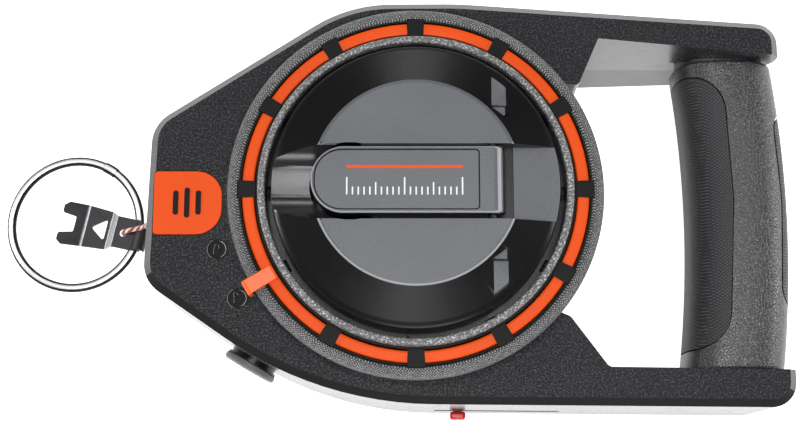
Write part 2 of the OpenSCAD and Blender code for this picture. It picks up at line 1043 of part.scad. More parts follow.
// Ring frame: origin at the ring's centre, in the plane of the ring
module on_ring() {
    translate(knuckle)
        rotate([0, 0, 180 - hook_turn])
            rotate([0, ring_tilt, 0])
                translate([ring_r, 0, 0])
                    children();
}

module pull_ring() {
    color(steel)
        on_ring()
            rotate_extrude($fn = 96)
                translate([ring_r, 0])
                    circle(r = ring_wire / 2, $fn = 24);
}

module ring_ferrule() {
    color(steel)
        on_ring()
            rotate(-115)
                rotate_extrude(angle = 12, $fn = 96)
                    translate([ring_r, 0])
                        difference() {
                            circle(r = ring_wire / 2 + 0.35, $fn = 24);
                            circle(r = ring_wire / 2, $fn = 24);
                        }
}

front_shell();
rear_shell();
grip_core();
grip_sleeve();
grip_pad_inner();
grip_pad_outer();
nose_plate();
bumper_ring();
bezel_ring();
rim_trim();
lock_ring();
lock_pawl();
crank_disc();
crank_arm();
arm_badge();
hinge_pin();
crank_knob();
knob_pin();
planet_carrier();
carrier_screws();
planet_pins();
planet_gear_1();
planet_gear_2();
planet_gear_3();
ring_gear();
bulkhead();
spool();
sun_gear();
wound_line();
axle();
axle_clip();
line_run();
line_outlet();
felt_wipers();
filler_neck();
filler_cap();
chalk_gate();
slider_knob();
shell_screws();
line_lead();
line_hook();
pull_ring();
ring_ferrule();
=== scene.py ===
"""Chalk line reel with a D-handle: the finished model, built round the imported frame."""

import logging
import math
from dataclasses import dataclass, field
from enum import Enum
from typing import Any, Callable, Sequence, Union

import bpy
from mathutils import Matrix, Vector


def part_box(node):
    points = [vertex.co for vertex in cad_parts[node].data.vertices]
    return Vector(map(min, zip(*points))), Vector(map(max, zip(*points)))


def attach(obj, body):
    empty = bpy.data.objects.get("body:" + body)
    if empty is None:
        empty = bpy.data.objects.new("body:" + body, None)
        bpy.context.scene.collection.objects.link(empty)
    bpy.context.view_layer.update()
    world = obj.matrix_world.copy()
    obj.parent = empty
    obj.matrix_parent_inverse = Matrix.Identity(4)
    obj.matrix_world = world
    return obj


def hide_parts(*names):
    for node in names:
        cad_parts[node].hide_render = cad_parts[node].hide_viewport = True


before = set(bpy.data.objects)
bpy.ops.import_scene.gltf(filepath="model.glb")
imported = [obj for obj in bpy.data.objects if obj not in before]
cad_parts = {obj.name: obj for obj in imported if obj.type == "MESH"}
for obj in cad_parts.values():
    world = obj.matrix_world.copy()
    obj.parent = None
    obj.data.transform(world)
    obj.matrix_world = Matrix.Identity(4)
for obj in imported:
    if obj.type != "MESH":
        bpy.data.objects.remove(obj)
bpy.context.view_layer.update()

logging.basicConfig(level=logging.INFO, format="%(message)s")
log = logging.getLogger("reel")

Point = tuple[float, float, float]
Flat = tuple[float, float]
Colour = tuple[float, float, float]
Test = Callable[[Vector, Vector], bool]
Material = bpy.types.Material
Socket = bpy.types.NodeSocket
UP = (0.0, 0.0, 1.0)
ROUND = 192
NEAR = 0.0001


def mm(value: float) -> float:
    """Millimetres to metres."""
    return value * 0.001


def mms(*values: float) -> tuple[float, ...]:
    """Several millimetre values to metres."""
    return tuple(mm(v) for v in values)


def raised(base: float, *points: Flat) -> list[Flat]:
    """Points of a profile, given in millimetres with their heights above a base in metres."""
    return [(mm(out), base + mm(high)) for out, high in points]


def turned(x: float, y: float, angle: float) -> Flat:
    """The point (x, y) turned about the origin by an angle in degrees."""
    c, s = math.cos(math.radians(angle)), math.sin(math.radians(angle))
    return x * c - y * s, x * s + y * c


def rounded(corners: Sequence[tuple[float, float, float]], steps: int = 8) -> list[Flat]:
    """Rounds each corner of an outline.

    Args:
        corners: x, y and radius of each corner, in order round the outline.
        steps: straight pieces in each arc.

    Returns:
        The points of the rounded outline.
    """
    points: list[Flat] = []
    count = len(corners)
    for i, (x, y, radius) in enumerate(corners):
        here = Vector((x, y))
        back = Vector(corners[i - 1][:2])
        ahead = Vector(corners[(i + 1) % count][:2])
        u, v = (back - here).normalized(), (ahead - here).normalized()
        half = math.acos(max(-1.0, min(1.0, u.dot(v)))) / 2
        centre = here + (u + v).normalized() * radius / math.sin(half)
        start = here + u * radius / math.tan(half) - centre
        side = -math.copysign(1.0, (back - here).cross(ahead - here))
        sweep = side * (180 - 2 * math.degrees(half))
        for k in range(steps + 1):
            dx, dy = turned(start.x, start.y, sweep * k / steps)
            points.append((centre.x + dx, centre.y + dy))
    return points


def grown(corners: Sequence[tuple[float, float, float]], by: float) -> list[tuple[float, float, float]]:
    """Moves every side of an anticlockwise outline outwards, or inwards where by is negative.

    Args:
        corners: x, y and radius of each corner.
        by: distance.

    Returns:
        The corners of the new outline.
    """
    result = []
    count = len(corners)
    for i, (x, y, radius) in enumerate(corners):
        here = Vector((x, y))
        u = (here - Vector(corners[i - 1][:2])).normalized()
        v = (Vector(corners[(i + 1) % count][:2]) - here).normalized()
        n1, n2 = Vector((u.y, -u.x)), Vector((v.y, -v.x))
        out = (n1 + n2) / (1 + n1.dot(n2))
        moved = here + out * by
        bend = u.cross(v)
        result.append((moved.x, moved.y, max(mm(0.3), radius + (by if bend > 0 else -by))))
    return result


# ---------------------------------------------------------------- modelling


class Cut(Enum):
    """How one solid meets another."""

    REMOVE = "DIFFERENCE"
    ADD = "UNION"
    KEEP = "INTERSECT"


def calm() -> None:
    """Leaves edit mode and deselects every object."""
    if bpy.context.object and bpy.context.object.mode != "OBJECT":
        bpy.ops.object.mode_set(mode="OBJECT")
    bpy.ops.object.select_all(action="DESELECT")


class Shape:
    """A mesh on the bench, shaped by modelling operators.

    Args:
        name: name of the piece.
        obj: the object that a primitive just made.
    """

    def __init__(self, name: str, obj: bpy.types.Object) -> None:
        self.obj = obj
        obj.name = name
        obj.data.name = name

    # -- starts

    @classmethod
    def cube(cls, name: str, low: Point, high: Point) -> "Shape":
        """A block between two corners."""
        calm()
        centre = [(a + b) / 2 for a, b in zip(low, high)]
        size = [b - a for a, b in zip(low, high)]
        bpy.ops.mesh.primitive_cube_add(size=1, location=centre, scale=size)
        return cls(name, bpy.context.object).settle()

    @classmethod
    def rod(cls, name: str, start: Point, end: Point, radius: float, sides: int = 48) -> "Shape":
        """A round bar between two points."""
        calm()
        a, b = Vector(start), Vector(end)
        turn = (b - a).to_track_quat("Z", "Y").to_euler()
        bpy.ops.mesh.primitive_cylinder_add(
            vertices=sides, radius=radius, depth=(b - a).length, location=(a + b) / 2, rotation=turn
        )
        return cls(name, bpy.context.object).settle()

    @classmethod
    def chain(cls, name: str, points: Sequence[Point], close: bool = False) -> "Shape":
        """A row of edges, drawn by extruding one point along a route.

        Args:
            name: name of the piece.
            points: the route.
            close: whether the last point joins the first.

        Returns:
            The shape, in edit mode with all selected.
        """
        calm()
        bpy.ops.mesh.primitive_plane_add(size=mm(1), location=(0, 0, 0))
        shape = cls(name, bpy.context.object)
        bpy.ops.object.mode_set(mode="EDIT")
        bpy.ops.mesh.select_mode(type="VERT")
        bpy.ops.mesh.select_all(action="SELECT")
        bpy.ops.mesh.merge(type="CENTER")
        bpy.ops.transform.translate(value=points[0])
        route = list(points) + ([points[0]] if close else [])
        for here, there in zip(route, route[1:]):
            step = Vector(there) - Vector(here)
            bpy.ops.mesh.extrude_vertices_move(TRANSFORM_OT_translate={"value": step})
        bpy.ops.mesh.select_all(action="SELECT")
        bpy.ops.mesh.remove_doubles(threshold=mm(0.0005))
        return shape

    @classmethod
    def prism(cls, name: str, outline: Sequence[Flat], z0: float, z1: float) -> "Shape":
        """A flat outline raised from z0 to z1."""
        shape = cls.chain(name, [(x, y, z0) for x, y in outline], close=True)
        bpy.ops.mesh.edge_face_add()
        shape.extrude((0, 0, z1 - z0))
        return shape.mend()

    @classmethod
    def slab(cls, name: str, points: Sequence[Point], push: Point) -> "Shape":
        """A face drawn through points and pushed along a vector."""
        shape = cls.chain(name, points, close=True)
        bpy.ops.mesh.edge_face_add()
        shape.extrude(push)
        return shape.mend()

    @classmethod
    def lathe(cls, name: str, profile: Sequence[Flat], steps: int = 160, close: bool = True) -> "Shape":
        """A profile of (radius, height) points spun round the Z axis."""
        shape = cls.chain(name, [(r, 0, z) for r, z in profile], close=close)
        bpy.ops.mesh.spin(steps=steps, angle=math.tau, center=(0, 0, 0), axis=UP)
        return shape.mend(mm(0.002))

    # -- shaping

    def edit(self) -> "Shape":
        """Opens the mesh in edit mode."""
        if bpy.context.object is not self.obj or self.obj.mode != "EDIT":
            calm()
            self.obj.select_set(True)
            bpy.context.view_layer.objects.active = self.obj
            bpy.ops.object.mode_set(mode="EDIT")
        return self

    def rest(self) -> "Shape":
        """Closes the mesh and makes it the only selected object."""
        calm()
        self.obj.select_set(True)
        bpy.context.view_layer.objects.active = self.obj
        return self

    def settle(self) -> "Shape":
        """Applies the object's place, turn and size to its mesh."""
        self.rest()
        bpy.ops.object.transform_apply(location=True, rotation=True, scale=True)
        return self

    def extrude(self, push: Point) -> "Shape":
        """Extrudes what is selected along a vector."""
        bpy.ops.mesh.extrude_region_move(TRANSFORM_OT_translate={"value": push})
        return self

    def mend(self, gap: float = mm(0.001)) -> "Shape":
        """Merges doubled points, turns faces outwards and leaves edit mode."""
        self.edit()
        bpy.ops.mesh.select_all(action="SELECT")
        bpy.ops.mesh.remove_doubles(threshold=gap)
        bpy.ops.mesh.normals_make_consistent(inside=False)
        return self.rest()

    def pick(self, test: Test) -> "Shape":
        """Selects the faces whose centre and normal pass a test, in edit mode."""
        self.rest()
        mesh = self.obj.data
        for part in (mesh.vertices, mesh.edges, mesh.polygons):
            part.foreach_set("select", [False] * len(part))
        for face in mesh.polygons:
            face.select = bool(test(face.center, face.normal))
        self.edit()
        bpy.ops.mesh.select_mode(type="FACE")
        return self

    def inset(self, test: Test, width: float, depth: float = 0.0) -> "Shape":
        """Insets the picked faces, and raises or sinks them by depth."""
        self.pick(test)
        bpy.ops.mesh.inset(thickness=width, depth=depth, use_boundary=True)
        return self.rest()

    def shift(self, test: Callable[[Vector], bool], by: Point) -> "Shape":
        """Moves the points that pass a test."""
        self.rest()
        mesh = self.obj.data
        for part in (mesh.edges, mesh.polygons):
            part.foreach_set("select", [False] * len(part))
        for vertex in mesh.vertices:
            vertex.select = bool(test(vertex.co))
        self.edit()
        bpy.ops.mesh.select_mode(type="VERT")
        bpy.ops.transform.translate(value=by)
        return self.rest()

    def turn(self, angle: float, axis: str = "Z", about: Point = (0, 0, 0)) -> "Shape":
        """Turns the mesh by degrees, right-handed, about a point."""
        self.rest()
        self.obj.data.transform(
            Matrix.Translation(about)
            @ Matrix.Rotation(math.radians(angle), 4, axis)
            @ Matrix.Translation([-c for c in about])
        )
        return self

    def move(self, by: Point) -> "Shape":
        """Moves the whole mesh."""
        self.rest()
        self.obj.data.transform(Matrix.Translation(by))
        return self

    # -- modifiers

    def modify(self, kind: str, **settings: Any) -> "Shape":
        """Adds a modifier and applies it."""
        self.rest()
        modifier = self.obj.modifiers.new(kind.title(), kind)
        for key, value in settings.items():
            setattr(modifier, key, value)
        bpy.ops.object.modifier_apply(modifier=modifier.name)
        return self

    def meet(self, other: "Shape", cut: Cut = Cut.REMOVE) -> "Shape":
        """Cuts with, adds or keeps what is common with another shape, which is used up."""
        self.modify("BOOLEAN", object=other.obj, operation=cut.value, solver="EXACT")
        other.drop()
        return self.rest()

    def bevel(self, width: float, segments: int = 2, angle: float = 32) -> "Shape":
        """Rounds the edges that are sharper than an angle."""
        return self.modify(
            "BEVEL",
            width=width,
            segments=segments,
            limit_method="ANGLE",
            angle_limit=math.radians(angle),
            miter_outer="MITER_ARC",
            use_clamp_overlap=True,
        )

    def smooth(self, angle: float = 35) -> "Shape":
        """Smooth shading, with edges sharper than an angle kept crisp and large faces kept flat."""
        self.rest()
        bpy.ops.object.shade_smooth_by_angle(angle=math.radians(angle))
        return self.modify("WEIGHTED_NORMAL", keep_sharp=True, weight=80)

    def drop(self) -> None:
        """Deletes the shape."""
        calm()
        bpy.data.objects.remove(self.obj, do_unlink=True)

    def join(self, *others: "Shape") -> "Shape":
        """Joins other shapes into this one without cutting them."""
        calm()
        for other in others:
            other.obj.select_set(True)
        self.obj.select_set(True)
        bpy.context.view_layer.objects.active = self.obj
        bpy.ops.object.join()
        return self.rest()

    # -- finish

    def paint(self, material: Material) -> "Shape":
        """Gives the whole piece one material."""
        self.obj.data.materials.clear()
        self.obj.data.materials.append(material)
        return self

    def paint_faces(self, material: Material, test: Test) -> "Shape":
        """Gives the faces that pass a test another material."""
        self.obj.data.materials.append(material)
        index = len(self.obj.data.materials) - 1
        for face in self.obj.data.polygons:
            if test(face.center, face.normal):
                face.material_index = index
        return self

    def fit(self, body: str, slot: str, *nodes: str) -> bpy.types.Object:
        """Rides the piece on its body, in place of its CAD nodes.

        Args:
            body: body that the piece moves with.
            slot: name of a material slot; not used.
            nodes: CAD nodes that the piece stands for.

        Returns:
            The finished object.
        """
        calm()
        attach(self.obj, body)
        if nodes:
            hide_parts(*nodes)
        log.info("%s: %d faces on %s", self.obj.name, len(self.obj.data.polygons), body)
        return self.obj


# ---------------------------------------------------------------- materials

Number = Union["Value", float]


def shade(colour: Colour, share: float) -> Colour:
    """A colour made darker, or lighter where the share is over 1."""
    return tuple(min(1.0, c * share) for c in colour)


class Value:
    """A number that varies over a surface: a node socket with arithmetic.

    Args:
        maker: the material that the nodes are added to.
        socket: the output socket that carries the number.
    """

    def __init__(self, maker: "Maker", socket: Socket) -> None:
        self.maker = maker
        self.socket = socket

    def math(self, operation: str, *others: Number) -> "Value":
        """Runs a Math node on this number and others."""
        return self.maker.sum_up(operation, self, *others)

    def __add__(self, other: Number) -> "Value":
        """self + other."""
        return self.math("ADD", other)

    def __sub__(self, other: Number) -> "Value":
        """self - other."""
        return self.math("SUBTRACT", other)

    def __mul__(self, other: Number) -> "Value":
        """self * other."""
        return self.math("MULTIPLY", other)

    def __pow__(self, other: Number) -> "Value":
        """self ** other."""
        return self.math("POWER", other)

    def __radd__(self, other: float) -> "Value":
        """other + self."""
        return self.maker.sum_up("ADD", other, self)

    def __rsub__(self, other: float) -> "Value":
        """other - self."""
        return self.maker.sum_up("SUBTRACT", other, self)

    def __rmul__(self, other: float) -> "Value":
        """other * self."""
        return self.maker.sum_up("MULTIPLY", other, self)

    def sine(self) -> "Value":
        """sin(self), in radians."""
        return self.math("SINE")

    def size(self) -> "Value":
        """The number without its sign."""
        return self.math("ABSOLUTE")

    def above(self, edge: Number) -> "Value":
        """1 where the number is over an edge, or else 0."""
        return self.math("GREATER_THAN", edge)

    def ramp(self, low: float, high: float, to_low: float = 0.0, to_high: float = 1.0) -> "Value":
        """Maps low..high smoothly onto to_low..to_high."""
        socket = self.maker.node(
            "ShaderNodeMapRange",
            {"interpolation_type": "SMOOTHSTEP", "clamp": True},
            {"Value": self, "From Min": low, "From Max": high, "To Min": to_low, "To Max": to_high},
        )
        return Value(self.maker, socket.outputs["Result"])


class Maker:
    """Builds one material's nodes.

    Args:
        name: name of the material.
    """

    def __init__(self, name: str) -> None:
        self.material = bpy.data.materials.new(name)
        self.material.use_nodes = True
        self.tree = self.material.node_tree
        self.tree.nodes.clear()
        self.place = self.node("ShaderNodeTexCoord", {}, {}).outputs["Object"]

    def node(self, kind: str, settings: dict[str, Any], sockets: dict[Any, Any]) -> bpy.types.Node:
        """Makes any node.

        Args:
            kind: type of the node.
            settings: properties of the node, set first.
            sockets: values or links of its inputs, by name or number.

        Returns:
            The node.
        """
        made = self.tree.nodes.new(kind)
        for key, value in settings.items():
            setattr(made, key, value)
        for key, value in sockets.items():
            target = made.inputs[key]
            source = value.socket if isinstance(value, Value) else value
            if isinstance(source, Socket):
                self.tree.links.new(source, target)
            else:
                target.default_value = source
        return made

    def sum_up(self, operation: str, *numbers: Number) -> Value:
        """Runs a Math node on numbers in order."""
        made = self.node("ShaderNodeMath", {"operation": operation}, dict(enumerate(numbers)))
        return Value(self, made.outputs[0])

    def axes(self) -> tuple[Value, Value, Value]:
        """The X, Y and Z of the point in the piece's own frame."""
        split = self.node("ShaderNodeSeparateXYZ", {}, {0: self.place})
        return tuple(Value(self, s) for s in split.outputs)

    def noise(self, scale: float, detail: float = 3, rough: float = 0.55, at: Any = None) -> Value:
        """Cloudy noise, with scale in cycles per metre."""
        made = self.node(
            "ShaderNodeTexNoise",
            {},
            {"Vector": at or self.place, "Scale": scale, "Detail": detail, "Roughness": rough},
        )
        return Value(self, made.outputs[0])

    def cells(self, scale: float, feature: str, at: Any) -> Value:
        """Distances in a field of cells, with scale in cells per metre."""
        made = self.node(
            "ShaderNodeTexVoronoi",
            {"feature": feature},
            {"Vector": at, "Scale": scale, "Randomness": 1.0},
        )
        return Value(self, made.outputs["Distance"])

    def stretched(self, scale: Point) -> Socket:
        """The point with its axes scaled."""
        return self.node("ShaderNodeMapping", {}, {"Vector": self.place, "Scale": scale}).outputs[0]

    def blend(self, share: Number, low: Any, high: Any) -> Socket:
        """Mixes two colours."""
        colours = [(*c, 1.0) if isinstance(c, tuple) else c for c in (low, high)]
        made = self.node(
            "ShaderNodeMix", {"data_type": "RGBA"}, {"Factor": share, 6: colours[0], 7: colours[1]}
        )
        return made.outputs[2]

    def bump(self, height: Value, depth: float) -> Socket:
        """A bump of a real depth in metres."""
        sockets = {"Height": height, "Distance": depth, "Strength": 1.0}
        return self.node("ShaderNodeBump", {}, sockets).outputs[0]

    def done(self, **sockets: Any) -> Material:
        """Joins the values to a Principled shader, with underscores for spaces, and returns the material."""
        named = {key.replace("_", " "): value for key, value in sockets.items()}
        for key, value in named.items():
            if key == "Base Color" and isinstance(value, tuple):
                named[key] = (*value, 1.0)
        shader = self.node("ShaderNodeBsdfPrincipled", {}, named)
        self.node("ShaderNodeOutputMaterial", {}, {"Surface": shader.outputs[0]})
        return self.material


@dataclass(frozen=True)
class GrainedPlastic:
    """Moulded plastic with a leather grain."""

    name: str
    colour: Colour
    grain: float = 1500.0
    depth: float = mm(0.2)
    roughness: float = 0.4
    shine: float = 0.24
    # Brightness of the painted glints that stand for light caught by the grain.
    painted_glint: float = 4.6

    def material(self) -> Material:
        """Builds the material."""
        m = Maker(self.name)
        warp = m.noise(260, 2)
        bent = m.node(
            "ShaderNodeVectorMath",
            {"operation": "MULTIPLY_ADD"},
            {0: m.node("ShaderNodeTexNoise", {}, {"Vector": m.place, "Scale": 420.0}).outputs[1],
             1: mms(0.7, 0.7, 0.7), 2: m.place},
        ).outputs[0]
        pebble = m.cells(self.grain, "SMOOTH_F1", bent)
        crease = m.cells(self.grain * 0.62, "DISTANCE_TO_EDGE", bent).ramp(0.0, 0.16)
        height = (1 - pebble) * 0.55 + crease * 0.45 + m.noise(3200, 2) * 0.12
        patch = m.noise(34, 4)
        # Painted glints: small bright specks in the colour that stand for light caught by the grain.
        painted_glint = m.noise(1250, 2, 0.65).ramp(0.5, 0.64)
        low = shade(self.colour, 0.5)
        high = shade(self.colour, 0.95)
        # Random patches, plus painted shade that darkens the creases of the grain.
        base = m.blend(patch * 0.6 + crease * 0.4, low, high)
        colour = m.blend(painted_glint, base, shade(self.colour, self.painted_glint))
        rough = self.roughness + patch * 0.10 - painted_glint * 0.08 + warp * 0.04
        return m.done(
            Base_Color=colour,
            Roughness=rough,
            Normal=m.bump(height, self.depth),
            Specular_IOR_Level=self.shine,
        )


@dataclass(frozen=True)
class WovenRubber:
    """Rubber ring with a fine woven texture that runs round the reel axis."""

    name: str
    colour: Colour
    radius: float = mm(73)
    pitch: float = mm(1.3)
    depth: float = mm(0.45)

    def material(self) -> Material:
        """Builds the material."""
        m = Maker(self.name)
        x, y, z = m.axes()
        reach = ((x * x) + (y * y)) ** 0.5
        count = round(math.tau * self.radius / self.pitch)
        round_way = m.sum_up("ARCTAN2", y, x) * count
        out_way = (reach - z * 0.8) * (math.tau / self.pitch)
        weave = ((round_way + out_way) * 0.5).sine() * ((round_way - out_way) * 0.5).sine()
        knots = weave.size().ramp(0.1, 0.85)
        grit = m.noise(1500, 3)
        patch = m.noise(40, 3)
        share = (knots * 0.8 + patch * 0.2) * grit.ramp(0.35, 0.6, 0.25, 1.0)
        # The weave's hollows are painted dark as shade; grit and patches add random tone.
        colour = m.blend(share, shade(self.colour, 0.1), self.colour)
        return m.done(
            Base_Color=colour,
            Roughness=0.5 + grit * 0.16 - knots * 0.08,
            Normal=m.bump(knots + grit * 0.25, self.depth),
            Specular_IOR_Level=0.3,
        )


@dataclass(frozen=True)
class DiamondRubber:
    """Grip rubber with a fine diamond knurl along the grip."""

    name: str
    colour: Colour
    pitch: float = mm(1.35)
    depth: float = mm(0.22)

    def material(self) -> Material:
        """Builds the material."""
        m = Maker(self.name)
        x, y, z = m.axes()
        turn = math.tau / self.pitch
        across = (x - z * 1.0) * turn
        back = (x + z * 1.0) * turn
        along = y * turn
        one = ((along + across) * 0.5).sine() * ((along - across) * 0.5).sine()
        two = ((along + back) * 0.5).sine() * ((along - back) * 0.5).sine()
        normal = m.node("ShaderNodeNewGeometry", {}, {}).outputs["Normal"]
        split = m.node("ShaderNodeSeparateXYZ", {}, {0: normal})
        side = (Value(m, split.outputs[0]) * Value(m, split.outputs[2])).above(0.0)
        weave = one * (1 - side) + two * side
        knobs = weave.size().ramp(0.12, 0.9)
        grit = m.noise(2400, 3)
        # The grooves between the knobs are painted dark as shade; grit adds random tone.
        colour = m.blend(knobs * 0.75 + grit * 0.2, shade(self.colour, 0.22), self.colour)
        return m.done(
            Base_Color=colour,
            Roughness=0.52 + grit * 0.14 - knobs * 0.1,
            Normal=m.bump(knobs + grit * 0.15, self.depth),
            Specular_IOR_Level=0.35,
        )


@dataclass(frozen=True)
class SmoothPlastic:
    """Moulded plastic with a faint spark texture, colour drift and rubbed highlights."""

    name: str
    colour: Colour
    roughness: float = 0.38
    spark: float = mm(0.03)
    scale: float = 2200.0
    coat: float = 0.0
    fleck: float = 0.15
    shine: float = 0.4

    def material(self) -> Material:
        """Builds the material."""
        m = Maker(self.name)
        spark = m.noise(self.scale, 3, 0.6)
        patch = m.noise(28, 4)
        rub = m.noise(90, 5, 0.7).ramp(0.5, 0.8)
        low = shade(self.colour, 1 - self.fleck)
        high = shade(self.colour, 1 + self.fleck)
        colour = m.blend(patch * 0.6 + spark * 0.4, low, high)
        return m.done(
            Base_Color=colour,
            Roughness=self.roughness + (spark - 0.5) * 0.16 + rub * 0.05,
            Normal=m.bump(spark, self.spark),
            Coat_Weight=self.coat,
            Coat_Roughness=0.2,
            Specular_IOR_Level=self.shine,
        )


@dataclass(frozen=True)
class Metal:
    """Metal with fine turning marks, stains and light wear."""

    name: str
    colour: Colour
    roughness: float = 0.22
    brush: Point = (60.0, 60.0, 3000.0)
    stain: float = 0.2

    def material(self) -> Material:
        """Builds the material."""
        m = Maker(self.name)
        lines = m.noise(1.0, 3, 0.6, at=m.stretched(self.brush))
        patch = m.noise(120, 4, 0.6)
        low = shade(self.colour, 1 - self.stain)
        colour = m.blend(patch * 0.6 + lines * 0.4, low, self.colour)
        return m.done(
            Base_Color=colour,
            Metallic=1.0,
            Roughness=self.roughness + lines * 0.1 + patch * 0.06,
            Normal=m.bump(lines, mm(0.01)),
        )


@dataclass(frozen=True)
class Chrome:
    """Chromed wire, painted bright along its crown as a highlight and painted dark down its sides as shade."""

    name: str
    # Painted highlight colour for the crown, then the painted shade colour for the sides.
    bright: Colour = (0.9, 0.9, 0.91)
    painted_side_shade: Colour = (0.025, 0.025, 0.027)

    def material(self) -> Material:
        """Builds the material."""
        m = Maker(self.name)
        normal = m.node("ShaderNodeNewGeometry", {}, {}).outputs["Normal"]
        up = Value(m, m.node("ShaderNodeSeparateXYZ", {}, {0: normal}).outputs[2])
        blotch = m.noise(260, 4)
        # Up-facing wire gets the painted highlight colour, the sides the painted shade colour.
        crown = (up.size() + (blotch - 0.5) * 0.05).ramp(0.84, 0.93)
        hair = m.noise(1.0, 3, 0.6, at=m.stretched((500.0, 500.0, 2500.0)))
        return m.done(
            Base_Color=m.blend(crown, self.painted_side_shade, self.bright),
            Metallic=1.0,
            Roughness=0.42 + hair * 0.06 + blotch * 0.06,
            Normal=m.bump(hair, mm(0.002)),
        )


@dataclass(frozen=True)
class BlackOxide:
    """Blackened sheet steel, with bare metal where its two folds have rubbed."""

    name: str
    origin: Flat
    heading: float
    folds: tuple = (mms(24.1, 0.55), mms(11.6, 1.5))
    colour: Colour = (0.012, 0.012, 0.014)
    bare: Colour = (0.6, 0.6, 0.61)

    def material(self) -> Material:
        """Builds the material."""
        m = Maker(self.name)
        x, y, _ = m.axes()
        c, s = math.cos(math.radians(self.heading)), math.sin(math.radians(self.heading))
        along = (x - self.origin[0]) * c + (y - self.origin[1]) * s
        scratch = m.noise(900, 5, 0.7)
        ragged = (scratch - 0.5) * mm(0.5)
        rubs = [((along - at).size() + ragged).ramp(half, half + mm(0.12), 1.0, 0.0) for at, half in self.folds]
        bright = rubs[0] + rubs[1]
        patch = m.noise(300, 3)
        dark = m.blend(patch, self.colour, shade(self.colour, 2.2))
        return m.done(
            Base_Color=m.blend(bright, dark, self.bare),
            Metallic=bright * 0.75 + 0.2,
            Roughness=0.42 - bright * 0.12 + patch * 0.1,
            Normal=m.bump(scratch, mm(0.02)),
        )


@dataclass(frozen=True)
class Braid:
    """Red and white twisted line; its UV runs round and along the line."""

    name: str
    red: Colour = (0.62, 0.02, 0.015)
    white: Colour = (0.86, 0.84, 0.8)
    strands: int = 4

    def material(self) -> Material:
        """Builds the material."""
        m = Maker(self.name)
        uv = m.node("ShaderNodeTexCoord", {}, {}).outputs["UV"]
        split = m.node("ShaderNodeSeparateXYZ", {}, {0: uv})
        round_way, along = Value(m, split.outputs[0]), Value(m, split.outputs[1])
        twist = (round_way * self.strands + along * 1.0) * math.pi
        lay = twist.sine().size()
        pick = ((round_way * self.strands + along) * 0.5).math("FRACT").above(0.5)
        fuzz = m.noise(5200, 4, 0.7)
        fibre = ((round_way * 40 - along * 9) * math.tau).sine() * 0.5 + 0.5
        colour = m.blend(pick, self.white, self.red)
        shaded = m.blend(lay.ramp(0.0, 0.5), shade(self.red, 0.35), colour)
        return m.done(
            Base_Color=shaded,
            Roughness=0.72 + fuzz * 0.2,
            Normal=m.bump(lay * 0.8 + fibre * 0.12 + fuzz * 0.15, mm(0.35)),
            Sheen_Weight=0.3,
        )


@dataclass(frozen=True)
class Felt:
    """Pressed felt, dusted with chalk."""

    name: str
    colour: Colour = (0.42, 0.36, 0.27)

    def material(self) -> Material:
        """Builds the material."""
        m = Maker(self.name)
        fuzz = m.noise(2600, 6, 0.75)
        patch = m.noise(180, 3)
        colour = m.blend(fuzz * 0.5 + patch * 0.5, shade(self.colour, 0.6), self.colour)
        return m.done(Base_Color=colour, Roughness=0.85 + fuzz * 0.1, Normal=m.bump(fuzz, mm(0.3)))


@dataclass(frozen=True)
class WoundLine:
    """The winding on the spool: turns of red and white line side by side."""

    name: str
    pitch: float = mm(2)

    def material(self) -> Material:
        """Builds the material."""
        m = Maker(self.name)
        x, y, z = m.axes()
        round_way = m.sum_up("ARCTAN2", y, x) * 60
        turns = (z * (math.tau / self.pitch)).sine() * 0.5 + 0.5
        twist = (round_way + z * (math.tau / self.pitch)).sine().above(0.0)
        colour = m.blend(twist, (0.8, 0.78, 0.74), (0.6, 0.03, 0.02))
        return m.done(Base_Color=colour, Roughness=0.75 + turns * 0.1, Normal=m.bump(turns, mm(0.8)))


def ready(finish: Any) -> Any:
    """A field that holds a finish's material, built once with the other finishes."""
    return field(default_factory=finish.material)


